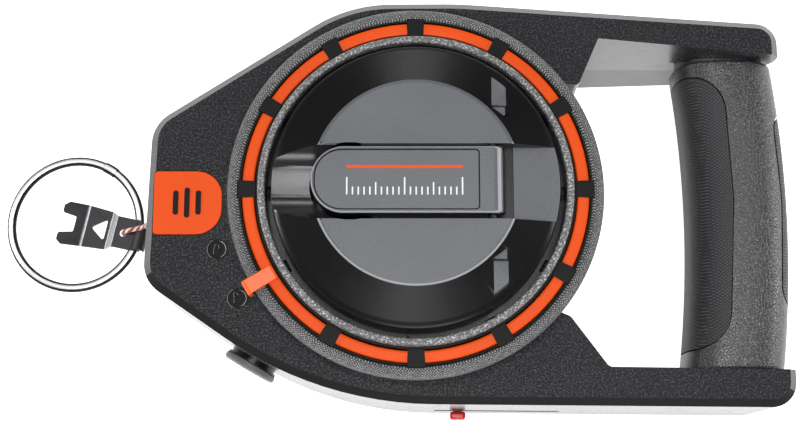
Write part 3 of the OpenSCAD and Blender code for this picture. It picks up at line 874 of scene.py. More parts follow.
@dataclass
class Finishes:
    """Every finish of the reel, built once."""

    shell: Material = ready(GrainedPlastic("shell grain", (0.0115, 0.0118, 0.0138)))
    # Smooth walls and chamfers, in a lighter colour than the grained face: painted sheen.
    wall: Material = ready(
        SmoothPlastic("shell edge", (0.03, 0.031, 0.034), 0.26, mm(0.02), shine=0.75)
    )
    # The last number of each grained finish sets the brightness of its painted glints.
    sleeve: Material = ready(
        GrainedPlastic("grip grain", (0.016, 0.0164, 0.0185), 1300, mm(0.16), 0.36, 1.0, 3.6)
    )
    pad: Material = ready(DiamondRubber("grip knurl", (0.085, 0.086, 0.092)))
    bumper: Material = ready(WovenRubber("bumper weave", (0.54, 0.54, 0.55), pitch=mm(1.2)))
    trim: Material = ready(
        GrainedPlastic("rim grain", (0.16, 0.16, 0.163), 1400, mm(0.1), 0.45, 0.4, 3.4)
    )
    black: Material = ready(
        SmoothPlastic("black moulding", (0.006, 0.006, 0.0063), 0.3, mm(0.015), shine=0.3)
    )
    bar: Material = ready(
        SmoothPlastic("bar moulding", (0.007, 0.007, 0.007), 0.5, mm(0.03), shine=0.12)
    )
    grey: Material = ready(
        SmoothPlastic("grey spark moulding", (0.105, 0.111, 0.122), 0.4, mm(0.12), 1500, fleck=0.3)
    )
    orange: Material = ready(
        SmoothPlastic("orange moulding", (0.78, 0.078, 0.004), 0.42, mm(0.01), fleck=0.06, shine=0.14)
    )
    # A lighter copy of the ring's orange for the lever, which is one piece with the ring: painted highlight.
    lever: Material = ready(
        SmoothPlastic("lit lever orange", (0.93, 0.13, 0.02), 0.36, mm(0.01), fleck=0.06)
    )
    red: Material = ready(SmoothPlastic("red knob", (0.62, 0.012, 0.006), 0.3, mm(0.005), coat=0.15))
    rubber: Material = ready(SmoothPlastic("cap rubber", (0.11, 0.11, 0.113), 0.5, mm(0.02)))
    # Light grey painted onto chosen edges and sides as a highlight.
    edge: Material = ready(SmoothPlastic("painted edge highlight", (0.3, 0.305, 0.32), 0.4, mm(0.02), fleck=0.3))
    scoop: Material = ready(
        SmoothPlastic("scoop polish", (0.02, 0.02, 0.022), 0.2, mm(0.01), shine=0.6)
    )
    white: Material = ready(SmoothPlastic("white ink", (0.82, 0.82, 0.8), 0.5, mm(0.005), fleck=0.04))
    steel: Material = ready(Metal("turned steel", (0.62, 0.62, 0.64), 0.26))
    chrome: Material = ready(Chrome("ring chrome"))
    brass: Material = ready(Metal("gear brass", (0.68, 0.48, 0.2), 0.28))
    hook: Material = ready(BlackOxide("black oxide", mms(-123.08, -7.3), 168.0))
    line: Material = ready(Braid("line braid"))
    wound: Material = ready(WoundLine("wound line"))
    felt: Material = ready(Felt("wiper felt"))


# ---------------------------------------------------------------- heights shared by the sub-assemblies

PART_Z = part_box("rear_shell")[1].z
FACE_Z = PART_Z + mm(40)
RING_Z = FACE_Z + mm(8.8)
DRUM_R = mm(76)


# ---------------------------------------------------------------- housing


@dataclass
class Housing:
    """Both shells, the orange nose plate and what is set into the walls."""

    finishes: Finishes
    wall: float = mm(3)
    chamfer: float = mm(3)
    dial_seat: float = mm(61.9)
    dial_bore: float = mm(59.6)
    mark_reach: float = mm(83.4)
    mark_r: float = mm(4.1)
    lock_angle: float = 196.0
    open_angle: float = 211.0
    open_lean: float = 32.0
    screw_seat: float = mm(3.3)
    corners: tuple = (
        mms(-110.4, -35.3, 14), mms(-38.6, -84.6, 150), mms(151.8, -86.2, 10), mms(151.6, 73.2, 9),
        mms(18, 82.6, 150), mms(-27.5, 82.4, 60), mms(-108.6, 30.2, 15),
    )
    opening: tuple = (
        mms(58, 48, 2), mms(56, 44, 2), mms(56, -48, 2), mms(62, -50, 4), mms(77, -70.3, 3),
        mms(170, -71.6, 1), mms(170, 78, 1), mms(81.4, 78, 3), mms(67.5, 46, 2),
    )
    screws: tuple = (
        mms(-93, 19), mms(-93, -26), mms(50, 73.5), mms(70, -77.6), mms(98, 71.2), mms(104, -78),
        mms(140, 69.2), mms(140, -78.8),
    )

    @staticmethod
    def upper_arm(lift: float) -> Shape:
        """All that lies above the upper arm's lower wall, which leans from its rear edge to its face.

        Args:
            lift: how far the wall is moved along Y.

        Returns:
            The solid.
        """
        x0, x1, over = mms(68, 170, 100)
        middle = (x0 + x1) / 2
        rows = [mms(-6, 62.9, 66.0), (0.0, mm(62.9), mm(66.0)), (PART_Z, mm(65.4), mm(65.0)),
                (FACE_Z, mm(67.3), mm(57.4)), mms(85, 67.3, 57.4)]
        bottom, left_y, right_y = rows[0]
        points = [(x0, left_y, bottom), (x1, right_y, bottom), (x1, over, bottom), (x0, over, bottom)]
        solid = Shape.chain("upper arm", points, close=True)
        bpy.ops.mesh.edge_face_add()
        for low, high in zip(rows, rows[1:]):
            solid.extrude((0, 0, high[0] - low[0]))
        solid.mend()
        for z, left, right in rows[1:]:
            for is_left, rise in ((True, left - left_y), (False, right - right_y)):
                solid.shift(
                    lambda v: abs(v.z - z) < NEAR and v.y < mm(80) and (v.x < middle) == is_left, (0, rise, 0)
                )
        return solid.move((0, lift, 0))

    def hand_gap(self, grow: float) -> Shape:
        """The hand opening's cutter, grown outwards but clear of the drum and of the upper arm."""
        gap = Shape.prism("gap", rounded(grown(self.opening, grow)), mm(-5), mm(80))
        drum = Shape.rod("drum", (0, 0, mm(-9)), (0, 0, mm(90)), DRUM_R - grow, 160)
        return gap.meet(drum).meet(self.upper_arm(grow))

    def hollow(self, z0: float, z1: float) -> Shape:
        """The space inside a shell."""
        space = Shape.prism("space", rounded(grown(self.corners, -self.wall)), z0, z1)
        return space.meet(self.hand_gap(self.wall))

    def block(self, name: str, z0: float, z1: float, top: bool) -> Shape:
        """The outline raised from z0 to z1, with a chamfer round its top or bottom face."""
        start, end = (z0, z1 - self.chamfer) if top else (z1, z0 + self.chamfer)
        shape = Shape.chain(name, [(x, y, start) for x, y in rounded(self.corners, 12)], close=True)
        bpy.ops.mesh.edge_face_add()
        shape.extrude((0, 0, end - start)).mend()
        sign = 1 if top else -1
        shape.inset(lambda c, n: n.z * sign > 0.9 and abs(c.z - end) < NEAR, self.chamfer, self.chamfer)
        return shape

    def line_hole(self) -> Shape:
        """Cutter for the eyelet and for its flange's seat in the nose."""
        seat = Shape.rod("seat", mms(-125, -4, 20), mms(-109.35, -4, 20), mm(6.7))
        return seat.meet(Shape.rod("hole", mms(-125, -4, 20), mms(-95, -4, 20), mm(5.05)), Cut.ADD)

    def slot(self) -> Shape:
        """Cutter for the slider's slot in the lower edge."""
        return Shape.cube("slot", mms(8, -92, 17.5), mms(61, -79.5, 22.5)).bevel(mm(1.2), 3)

    def foot(self) -> Shape:
        """Fillet that runs from the bumper down to the housing's face."""
        reach, rise = mms(4.2, 4.4)
        arc = []
        for a in (math.radians(15 * k) for k in range(7)):
            arc.append((DRUM_R - mm(1) + reach * (1 - math.cos(a)), FACE_Z + rise * (1 - math.sin(a))))
        profile = [(DRUM_R - mm(3.4), FACE_Z - mm(1)), (DRUM_R - mm(3.4), FACE_Z + rise)]
        profile += arc + [(DRUM_R + mm(3.4), FACE_Z - mm(1))]
        ring = Shape.lathe("foot", profile)
        inside = rounded(grown(self.corners, mm(-2.6)), 12)
        plan = Shape.prism("plan", inside, FACE_Z - mm(2), FACE_Z + mm(9))
        plan.meet(self.hand_gap(0.0))
        return ring.meet(plan, Cut.KEEP)

    def padlock(self, angle: float, is_open: bool) -> Shape:
        """Raised round mark with a padlock on it.

        Args:
            angle: place round the dial in degrees.
            is_open: whether the shackle is swung open.

        Returns:
            The mark, as one raised shape.
        """
        x, y = turned(self.mark_reach, 0, angle)
        disc = Shape.rod("mark", (x, y, FACE_Z - mm(0.6)), (x, y, FACE_Z + mm(0.45)), self.mark_r, 40)
        moat = Shape.rod("moat", (x, y, FACE_Z + mm(0.15)), (x, y, FACE_Z + mm(2)), self.mark_r - mm(0.6), 40)
        disc.meet(moat)
        z0, z1 = FACE_Z - mm(0.2), FACE_Z + mm(0.6)
        body = Shape.cube("lock", (x - mm(1.5), y - mm(2.0), z0), (x + mm(1.5), y + mm(0.3), z1))
        lean = self.open_lean if is_open else 0.0
        bow = [(x, y + mm(0.9)) for x, y in (turned(mm(1.1), 0, a) for a in range(180, -1, -30))]
        inner = [(p[0] * 0.5, (p[1] - mm(0.9)) * 0.5 + mm(0.9)) for p in bow]
        path = [(-mm(1.1), 0.0)] + bow + [(mm(1.1), 0.0), (mm(0.55), 0.0)] + inner[::-1] + [(-mm(0.55), 0.0)]
        hinge = (-mm(1.1), 0.0)
        spots = [turned(px - hinge[0], py - hinge[1], lean) for px, py in path]
        shackle = Shape.prism(
            "shackle", [(x + hinge[0] + px, y + mm(0.2) + hinge[1] + py) for px, py in spots], z0, z1
        )
        return disc.join(body, shackle)

    def build_front(self) -> bpy.types.Object:
        """Front shell with its dial seat, chamfer, fillet and marks."""
        shell = self.block("front_cover", PART_Z, FACE_Z, True)
        shell.meet(self.hand_gap(0.0))
        shell.meet(self.hollow(PART_Z - mm(1), FACE_Z - self.wall))
        shell.meet(self.foot(), Cut.ADD)
        shell.meet(Shape.rod("dial", (0, 0, FACE_Z - mm(2.1)), (0, 0, FACE_Z + mm(12)), self.dial_seat, 160))
        shell.meet(Shape.rod("dial", (0, 0, FACE_Z - mm(9)), (0, 0, FACE_Z), self.dial_bore, 160))
        shell.meet(Shape.prism("patch", nose_outline(mm(0.35)), FACE_Z - mm(0.9), FACE_Z + mm(4)))
        way = (mm(-70.4), mm(-2.65), FACE_Z - mm(2)), (mm(-60), mm(2.65), FACE_Z + mm(0.2))
        shell.meet(Shape.cube("pawl way", *way))
        shell.meet(self.line_hole())
        shell.meet(self.slot())
        shell.meet(Filler.bore(mm(10.05)))
        shell.meet(Shape.rod("socket", mms(132.4, 66.5, 31), mms(132.4, -77.5, 31), mm(9.05)))
        shell.bevel(mm(0.55), 3).smooth(32)
        marks = self.padlock(self.lock_angle, False).join(self.padlock(self.open_angle, True))
        marks.bevel(mm(0.15), 2).smooth().paint(self.finishes.bar)
        # Left-facing faces of the marks get the light edge finish: a painted highlight.
        marks.paint_faces(self.finishes.edge, lambda c, n: n.x < -0.2 and n.z > -0.2)
        shell.paint(self.finishes.shell)
        # Upright walls and chamfers take the lighter wall colour as painted sheen.
        shell.paint_faces(self.finishes.wall, self.on_wall)
        # Chamfer faces that lean towards -Y get the near-black bar finish: painted shade.
        shell.paint_faces(self.finishes.bar, lambda c, n: self.on_wall(c, n) and n.z > 0.4 and n.y < -0.25)
        shell.join(marks)
        return shell.fit("housing", "shell_plastic", "front_shell")

    def on_wall(self, centre: Vector, normal: Vector) -> bool:
        """Whether a face is on the smooth walls and chamfer rather than on the grained face."""
        upright = abs(normal.z) < 0.4 and FACE_Z - mm(2.8) > centre.z
        chamfer = 0.4 < normal.z < 0.9 and FACE_Z - mm(3.2) < centre.z < FACE_Z
        return upright or chamfer

    def build_rear(self) -> bpy.types.Object:
        """Rear shell with its screw seats and flat back."""
        shell = self.block("rear_cover", 0.0, PART_Z, False)
        shell.meet(self.hollow(self.wall, PART_Z + mm(1)))
        for x, y in self.screws:
            shell.meet(Shape.rod("post", (x, y, mm(1)), (x, y, PART_Z - mm(0.3)), mm(4.6), 24), Cut.ADD)
        shell.meet(self.hand_gap(0.0))
        for x, y in self.screws:
            shell.meet(Shape.rod("seat", (x, y, mm(-1)), (x, y, mm(3.4)), self.screw_seat, 32))
        panel = rounded(grown(self.corners, mm(-12)), 10)
        sunk = Shape.prism("panel", panel, mm(-2), mm(0.6)).meet(self.hand_gap(mm(9)))
        shell.meet(sunk)
        ledge = Shape.prism("ledge", rounded(grown(self.corners, mm(-13.2)), 10), mm(0.0), mm(0.62))
        shell.meet(ledge.meet(self.hand_gap(mm(10.2))), Cut.ADD)
        shell.meet(self.line_hole())
        shell.meet(self.slot())
        shell.bevel(mm(0.45), 2).smooth(32)
        shell.paint(self.finishes.shell)
        # Upright walls take the lighter wall colour as painted sheen.
        shell.paint_faces(self.finishes.wall, lambda c, n: abs(n.z) < 0.4 and c.z > mm(2.8))
        return shell.fit("housing", "shell_plastic", "rear_shell")

    def build_nose(self) -> bpy.types.Object:
        """Orange patch on the nose, with three thumb ribs in place of a mark."""
        plate = Shape.prism("nose_patch", nose_outline(0.0), FACE_Z - mm(0.9), FACE_Z + mm(0.3))
        plate.bevel(mm(0.35), 3).smooth()
        plate.paint(self.finishes.orange)
        ribs = []
        for k in (-1, 0, 1):
            x = mm(-93 + 4.6 * k)
            half = mm(6.2 - 1.2 * abs(k))
            corners = [(x - mm(1.1), mm(-3.7) - half, mm(1)), (x + mm(1.1), mm(-3.7) - half, mm(1)),
                       (x + mm(1.1), mm(-3.7) + half, mm(1)), (x - mm(1.1), mm(-3.7) + half, mm(1))]
            rib = Shape.prism("rib", rounded(corners, 5), FACE_Z + mm(0.2), FACE_Z + mm(0.75))
            ribs.append(rib.bevel(mm(0.25), 2).smooth().paint(self.finishes.bar))
        plate.join(*ribs)
        return plate.fit("housing", "orange_plastic", "nose_plate")

    def build(self) -> None:
        """Builds the whole housing."""
        self.build_front()
        self.build_rear()
        self.build_nose()


def nose_outline(grow: float) -> list[Flat]:
    """Outline of the nose patch, with round corners at its inner end."""
    corners = [mms(-106.6, -16.8, 1.5), mms(-78.8, -16.8, 10.5), mms(-78.8, 9.5, 10.5), mms(-106.6, 9.5, 1.5)]
    return rounded(grown(corners, grow), 8)


# ---------------------------------------------------------------- filler, slider and outlet


@dataclass
class Filler:
    """Rubber filler cap in the slanted wall."""

    finishes: Finishes
    radius: float = mm(11.5)

    @staticmethod
    def at(out: float) -> Point:
        """A point on the filler's axis, at a distance out of the wall."""
        x, y = turned(out, 0, -120)
        return mm(-67) + x, mm(-64.9) + y, mm(34)

    @staticmethod
    def bore(radius: float) -> Shape:
        """Cutter along the filler's axis."""
        return Shape.rod("bore", Filler.at(mm(-14)), Filler.at(mm(9)), radius, 64)

    def build(self) -> None:
        """Cap with a domed rim over its ridged plug."""
        profile = [
            (0.0, mm(4.6)), mms(6.8, 4.6), mms(7.3, 4.9), mms(10.6, 4.95), mms(11.3, 4.5),
            mms(11.5, 3.7), mms(11.3, 2.4), mms(10.8, 2.1), mms(8.5, 2.1), mms(8.3, 1.2),
            mms(8.5, 0.4), mms(8.3, -0.6), mms(8.5, -1.6), mms(8.2, -4), mms(6.8, -4),
            mms(6.8, 1), (0.0, mm(1)),
        ]
        cap = Shape.lathe("chalk_cap", profile, 96)
        cap.obj.data.transform(self.frame())
        cap.bevel(mm(0.2), 2, 40).smooth(40).paint(self.finishes.rubber)
        cap.fit("cap", "cap_rubber", "filler_cap")

    @staticmethod
    def frame() -> Matrix:
        """Turns +Z onto the filler's axis and moves the origin to the wall."""
        return (
            Matrix.Translation(Filler.at(0.0))
            @ Matrix.Rotation(math.radians(-120), 4, "Z")
            @ Matrix.Rotation(math.radians(90), 4, "Y")
        )


@dataclass
class Slider:
    """Red knob of the chalk gate, in the slot of the lower edge."""

    finishes: Finishes

    def build(self) -> None:
        """Barrel-shaped knob with finger ribs."""
        x, y, z = mm(18), mm(-84.9), PART_Z
        low, high = (x - mm(3.3), y - mm(4.2), z - mm(3.6)), (x + mm(3.3), y - mm(0.7), z + mm(3.6))
        knob = Shape.cube("gate_knob", low, high)
        knob.bevel(mm(1.25), 4)
        for k in (-1, 0, 1):
            at = x + mm(1.7) * k
            front = y - mm(4.55)
            knob.meet(Shape.rod("rib", (at, front, z - mm(9)), (at, front, z + mm(9)), mm(0.55), 16))
        knob.bevel(mm(0.12), 2).smooth(40).paint(self.finishes.red)
        knob.fit("gate", "red_plastic", "slider_knob")


# ---------------------------------------------------------------- dial


@dataclass
class Dial:
    """Bumper, bezel with its bars, inner rim and the orange lock ring."""

    finishes: Finishes
    lever_angle: float = 211.0
    lever_width: float = mm(6)
    bar_turn: float = 5.8
    bar_step: int = 30
    bumper_in: float = mm(70.95)
    ring_in: float = mm(65)
    ring_out: float = mm(69.9)

    def build_bumper(self) -> bpy.types.Object:
        """Textured rubber ring with a convex crown."""
        z = FACE_Z
        inner = self.bumper_in
        crown = [
            (inner + (DRUM_R - inner) / 2 - (DRUM_R - inner) / 2 * math.cos(math.radians(a)),
             z + mm(6.2) + mm(3.3) * math.sin(math.radians(a)) ** 0.8)
            for a in range(0, 181, 15)
        ]
        profile = crown + [(DRUM_R, z + mm(3.2)), (DRUM_R - mm(0.2), z + mm(0.2)), (inner, z + mm(0.2))]
        ring = Shape.lathe("bumper", profile, ROUND)
        ring.bevel(mm(0.2), 2, 40).smooth(40).paint(self.finishes.bumper)
        return ring.fit("housing", "bumper_rubber", "bumper_ring")

    def bar(self, angle: float) -> Shape:
        """One black bar that bridges the lock ring."""
        z0, z1 = RING_Z + mm(0.12), RING_Z + mm(0.75)
        section = [(mm(64.2), z0), (mm(71.6), z0), (mm(71.9), z0 + mm(0.2)), (mm(71.5), z1), (mm(64.3), z1)]
        points = [(r, 0.0, z) for r, z in section]
        bar = Shape.chain("bar", points, close=True)
        bpy.ops.mesh.edge_face_add()
        bpy.ops.mesh.spin(steps=6, angle=math.radians(self.bar_turn), center=(0, 0, 0), axis=UP)
        bar.mend().turn(angle + self.bar_turn / 2)
        return bar.bevel(mm(0.2), 2, 50).smooth(40)

    def build_bezel(self) -> bpy.types.Object:
        """Black bezel: outer lip, inner wall and eleven bars."""
        z = FACE_Z
        lip = Shape.lathe("bezel", raised(z, (70.2, 0), (70.2, 9.1), (70.85, 9.1), (70.85, 0)), ROUND)
        wall = Shape.lathe("wall", raised(z, (60.5, 0.3), (60.5, 9.1), (64.5, 9.1), (64.5, 0.3)), ROUND)
        bezel = lip.join(wall)
        bezel.bevel(mm(0.12), 2, 40).smooth(40)
        bezel.join(*[self.bar(a) for a in range(0, 360, self.bar_step) if abs(a - self.lever_angle) > 5])
        bezel.paint(self.finishes.bar)
        bezel.paint_faces(self.finishes.black, lambda c, n: c.z < RING_Z)
        return bezel.fit("housing", "black_plastic", "bezel_ring")

    def build_trim(self) -> bpy.types.Object:
        """Light inner rim with a rounded crown."""
        profile = raised(
            FACE_Z, (60.4, 9.2), (60.4, 12), (60.6, 12.6), (61.1, 13),
            (62.4, 13), (63.1, 12.6), (63.4, 12), (63.5, 9.2),
        )
        rim = Shape.lathe("inner_rim", profile, ROUND)
        rim.smooth(60).paint(self.finishes.trim)
        return rim.fit("housing", "bumper_rubber", "rim_trim")

    def build_lock(self) -> bpy.types.Object:
        """Orange lock ring with its turned-down lever."""
        z = RING_Z
        profile = [
            (self.ring_in, FACE_Z + mm(0.4)), *raised(z, (65, -0.5), (65.4, -0.1), (66.2, 0)),
            *raised(z, (68.7, 0), (69.5, -0.1), (69.9, -0.5)), (self.ring_out, FACE_Z + mm(0.4)),
        ]
        ring = Shape.lathe("lock_dial", profile, ROUND)
        ring.smooth(50).paint(self.finishes.orange)
        side = raised(
            z, (65.1, -0.5), (69.7, -0.5), (69.8, 1.15), (76.95, 1.15), (77, -5.2), (78.8, -5.3), (79, 1.2),
            (78.3, 2.2), (77.2, 2.6), (66, 2.5), (65.2, 2),
        )
        half = self.lever_width / 2
        lever = Shape.slab("lever", [(r, -half, h) for r, h in side], (0, self.lever_width, 0))
        # The lever takes the lighter orange copy: painted highlight.
        lever.bevel(mm(0.35), 3, 28).smooth(40).turn(self.lever_angle).paint(self.finishes.lever)
        ring.join(lever)
        return ring.fit("lock_ring", "orange_plastic", "lock_ring")

    def build(self) -> None:
        """Builds the whole dial."""
        self.build_bumper()
        self.build_bezel()
        self.build_trim()
        self.build_lock()


# ---------------------------------------------------------------- crank


@dataclass
class Crank:
    """Dished crank disc with its folding arm, badge, knob and pins."""

    finishes: Finishes
    radius: float = mm(57.5)
    plateau: float = mm(40.3)
    top: float = mm(84)
    half_arm: float = mm(13.3)
    gap: float = mm(1.8)
    hinge: Flat = mms(30, 82)
    trough: float = mm(76.8)
    arm_end: float = mm(-41.2)
    scoop_r: float = mm(16.5)
    scoop_z: float = mm(90.5)
    knob_x: float = mm(-25)
    wells: Flat = mms(-25, -26.9)
    well_r: float = mm(15.5)
    well_wall: float = mm(1.8)
    trough_wall: float = mm(2.4)
    knob_r: float = mm(12.5)
    knob_tall: float = mm(22.4)
    pin_r: float = mm(1.52)
    axle_r: float = mm(4.06)
    notches: int = 12

    def slopes(self) -> list[Flat]:
        """Upper profile of the disc, from its axis to its rim."""
        return [
            (0.0, self.top), (self.plateau - mm(0.5), self.top), (self.plateau + mm(0.3), self.top - mm(0.15)),
            (mm(41.4), self.top - mm(0.75)), mms(54.6, 78.5), mms(56.0, 78.0), mms(57.0, 77.2),
            (self.radius, mm(75.9)), (self.radius, FACE_Z - mm(0.2)), (mm(61.4), FACE_Z - mm(0.2)),
            (mm(61.4), FACE_Z - mm(1.8)),
        ]

    def build_disc(self) -> bpy.types.Object:
        """Disc with arm trough, finger scoop, knob well and pin pockets."""
        under = [(mm(55), FACE_Z - mm(1.8)), mms(55, 75.6), mms(41, 80.4), mms(38.5, 81.4), (0.0, mm(81.4))]
        disc = Shape.lathe("crank_dish", self.slopes() + under, ROUND)
        half = self.half_arm + self.gap
        flank = half + self.trough_wall
        box = (self.arm_end - mm(4), -flank, self.trough - mm(2)), (self.radius, flank, mm(83.6))
        backing = Shape.cube("backing", *box)
        backing.meet(Shape.cube("left", mms(-57.2, -17, 72.4), mms(-43, 17, 83.5)), Cut.ADD)
        for side in (-1, 1):
            near = min(side * mm(26.6), side * mm(48))
            box = (mm(26), near, mm(77.3)), (mm(38), near + mm(21.4), mm(83.3))
            backing.meet(Shape.cube("pocket", *box), Cut.ADD)
        envelope = Shape.lathe("envelope", self.slopes() + [(0.0, FACE_Z - mm(1.8))], ROUND)
        disc.meet(backing.meet(envelope, Cut.KEEP), Cut.ADD)
        disc.meet(Shape.rod("hub", mms(0, 0, 50), mms(0, 0, 75.5), mm(10), 48), Cut.ADD)
        for x in self.wells:
            cup = Shape.rod("well", (x, 0, mm(50.2)), (x, 0, mm(75.5)), self.well_r + self.well_wall, 64)
            disc.meet(cup, Cut.ADD)
        disc.meet(Shape.cube("trough", (mm(-28), -half, self.trough), (mm(62), half, mm(90))))
        gap = (mm(34.6), -half, self.trough - mm(1.2)), (mm(38.7), half, mm(79))
        disc.meet(Shape.cube("groove", *gap))
        disc.meet(self.scoop())
        for side in (-1, 1):
            disc.meet(self.pocket(side))
            facet = [mms(29.4, 30.7 * side), mms(35.4, 26.3 * side), mms(35.4, 30.7 * side)]
            disc.meet(Shape.prism("facet", facet, mm(80.9), mm(90)))
        for x in self.wells:
            disc.meet(Shape.rod("knob room", (x, 0, mm(52)), (x, 0, mm(90)), self.well_r, 72))
        disc.meet(Shape.rod("bore", mms(0, 0, 45), mms(0, 0, 59), self.axle_r, 32))
        pin_x, pin_z = self.hinge
        disc.meet(Shape.rod("pin way", (pin_x, mm(-20.6), pin_z), (pin_x, mm(20.6), pin_z), self.pin_r, 24))
        for k in range(self.notches):
            notch = Shape.cube("notch", (mm(59), mm(-2.8), FACE_Z - mm(4)), (mm(65), mm(2.8), FACE_Z))
            disc.meet(notch.turn(180 + 360 // self.notches * k))
        disc.bevel(mm(0.35), 3).smooth(30)
        disc.paint(self.finishes.black)
        # Up-facing faces painted grey: partly the centre's own grey, partly painted sheen of the overhead
        # light.
        disc.paint_faces(self.finishes.grey, self.is_grey)
        # The centre's trough edges and lower arc get a painted highlight.
        disc.paint_faces(self.finishes.edge, self.on_painted_highlight)
        disc.paint_faces(self.finishes.scoop, self.in_scoop)
        return disc.fit("crank", "black_plastic", "crank_disc")

    def is_grey(self, centre: Vector, normal: Vector) -> bool:
        """Whether a face is on the raised centre, the arm's landing or a pocket's floor: the up-facing faces
        that take the grey, which on the centre is partly its own colour and partly painted sheen, and on the
        landing and pocket floors is painted sheen.
        """
        x, y, z = centre
        middle = z > self.top - mm(0.8) and math.hypot(x, y) < mm(41.5) and normal.z > 0.5
        landing = abs(z - self.trough) < mm(0.3) and x > mm(38) and normal.z > 0.5
        pocket = z < mm(81.2) and mm(29) < x < mm(36) and abs(y) > mm(26) and normal.z > 0.985
        return middle or landing or pocket

    def in_scoop(self, centre: Vector, normal: Vector) -> bool:
        """Whether a face is the hollow that the scoop's cutter leaves."""
        reach = math.hypot(centre.y, centre.z - self.scoop_z)
        return centre.x < mm(-36) and abs(reach - self.scoop_r) < mm(0.25) and normal.z > 0.1

    def on_painted_highlight(self, centre: Vector, normal: Vector) -> bool:
        """Whether a face is on the edges of the raised centre that get a painted highlight."""
        if normal.z > 0.985 or centre.z < self.top - mm(0.8) or centre.x > mm(39):
            return False
        chord = normal.z < 0.95 and abs(abs(centre.y) - self.half_arm - self.gap) < mm(0.45)
        reach = math.hypot(centre.x, centre.y)
        arc = normal.z < 0.9 and abs(reach - self.plateau) < mm(1.2) and centre.y < 0
        return chord or arc

    def pocket(self, side: int) -> Shape:
        """Cutter for one pocket, with a sloped left wall."""
        near, far = sorted((side * mm(31), side * mm(46.6)))
        cutter = Shape.cube("pocket", (mm(28.9), near, mm(79)), (mm(36), far, mm(90)))
        return cutter.shift(lambda v: v.x < mm(29) and v.z < mm(80), (mm(1.4), 0, 0))

    def scoop(self) -> Shape:
        """Cutter for the finger scoop to the left of the arm's free end."""
        return Shape.rod("scoop", (mm(-66), 0, self.scoop_z), (mm(-26), 0, self.scoop_z), self.scoop_r, 120)

    def build_arm(self) -> bpy.types.Object:
        """Folding arm with a recess for its badge and a rounded hinge end."""
        x, z = self.hinge
        half, thick = self.half_arm, mm(4.9)
        nose = [turned(thick, 0, a) for a in range(-90, 91, 10)]
        left, right, wide = self.arm_end, x + mm(9), half + mm(0.5)
        side = [(left - mm(2), z - thick)] + [(x + dx, z + dz) for dx, dz in nose] + [(left - mm(2), z + thick)]
        arm = Shape.slab("arm", [(px, -half, pz) for px, pz in side], (0, 2 * half, 0))
        corners = [
            (left, -half, half - mm(0.01)), (right, -wide, mm(0.4)),
            (right, wide, mm(0.4)), (left, half, half - mm(0.01)),
        ]
        arm.meet(Shape.prism("plan", rounded(corners, 24), z - mm(9), z + mm(9)), Cut.KEEP)
        arm.bevel(mm(0.9), 4, 50)
        arm.meet(Shape.prism("recess", badge_outline(mm(0.45)), z + mm(4.1), z + mm(9)))
        arm.meet(Shape.rod("bore", (x, mm(-20), z), (x, mm(20), z), mm(1.56), 24))
        arm.bevel(mm(0.15), 2, 40).smooth(40)
        arm.paint(self.finishes.grey)
        arm.paint_faces(self.finishes.black, lambda c, n: c.z < z + mm(3.2))
        # The arm's upper bevels get the light edge finish: a painted highlight.
        arm.paint_faces(self.finishes.edge, lambda c, n: c.z > z + mm(3.9) and 0.15 < n.z < 0.95)
        # The floor and wall of the gap round the badge are painted near-black: painted shade.
        arm.paint_faces(
            self.finishes.bar, lambda c, n: mm(4) < c.z - z < mm(4.6) and (n.z > 0.97 or abs(n.z) < 0.1)
        )
        return arm.fit("arm", "grey_plastic", "crank_arm")

    def build_badge(self) -> bpy.types.Object:
        """Plate on the arm with a plain row of scale ticks."""
        z = self.hinge[1] + mm(4.9)
        plate = Shape.prism("badge", badge_outline(0.0), z - mm(0.85), z - mm(0.15))
        plate.bevel(mm(0.2), 3, 40).smooth().paint(self.finishes.grey)
        marks = []
        for k in range(21):
            tall = mm(7.0) if k % 10 == 0 else mm(5.0) if k % 5 == 0 else mm(3.2)
            x = mm(-27 + 2.25 * k)
            box = (x - mm(0.3), mm(-6.2), z - mm(0.3)), (x + mm(0.3), mm(-6.2) + tall, z - mm(0.1))
            tick = Shape.cube("tick", *box)
            marks.append(tick.bevel(mm(0.06), 1).paint(self.finishes.white))
        stripe = Shape.cube("stripe", (mm(-27.3), mm(4.4), z - mm(0.3)), (mm(18.3), mm(5.6), z - mm(0.1)))
        marks.append(stripe.bevel(mm(0.06), 1).paint(self.finishes.orange))
        plate.join(*marks)
        return plate.fit("arm", "grey_plastic", "arm_badge")

    def build_knob(self) -> bpy.types.Object:
        """Winding knob with finger flutes."""
        top = self.hinge[1] - mm(4.9) - mm(0.4)
        low = top - self.knob_tall
        r = self.knob_r
        profile = [
            (mm(2.56), low + mm(1.8)), (mm(5.5), low + mm(1.8)), (mm(5.6), low + mm(0.1)), (mm(6.2), low),
            (r - mm(2.2), low), (r - mm(1.0), low + mm(0.5)), (r - mm(0.2), low + mm(1.6)), (r, low + mm(3)),
            (r, low + mm(7)), (r - mm(0.9), low + mm(10)), (r - mm(1.9), low + mm(13.5)),
            (r - mm(2.5), low + mm(17)), (r - mm(2.3), low + mm(20)), (r - mm(2.6), low + mm(21.4)),
            (r - mm(3.4), top), (mm(2.56), top),
        ]
        knob = Shape.lathe("winding_knob", profile, 96)
        knob.move((self.knob_x, 0, 0))
        for k in range(10):
            dx, dy = turned(r + mm(1.0), 0, 36 * k)
            at = self.knob_x + dx
            flute = Shape.rod("flute", (at, dy, low - mm(2)), (at, dy, low + mm(9)), mm(1.9), 16)
            knob.meet(flute)
        knob.bevel(mm(0.25), 2, 35).smooth(40).paint(self.finishes.black)
        return knob.fit("knob", "black_plastic", "crank_knob")

    def build(self) -> None:
        """Builds the whole crank."""
        self.build_disc()
        self.build_arm()
        self.build_badge()
        self.build_knob()


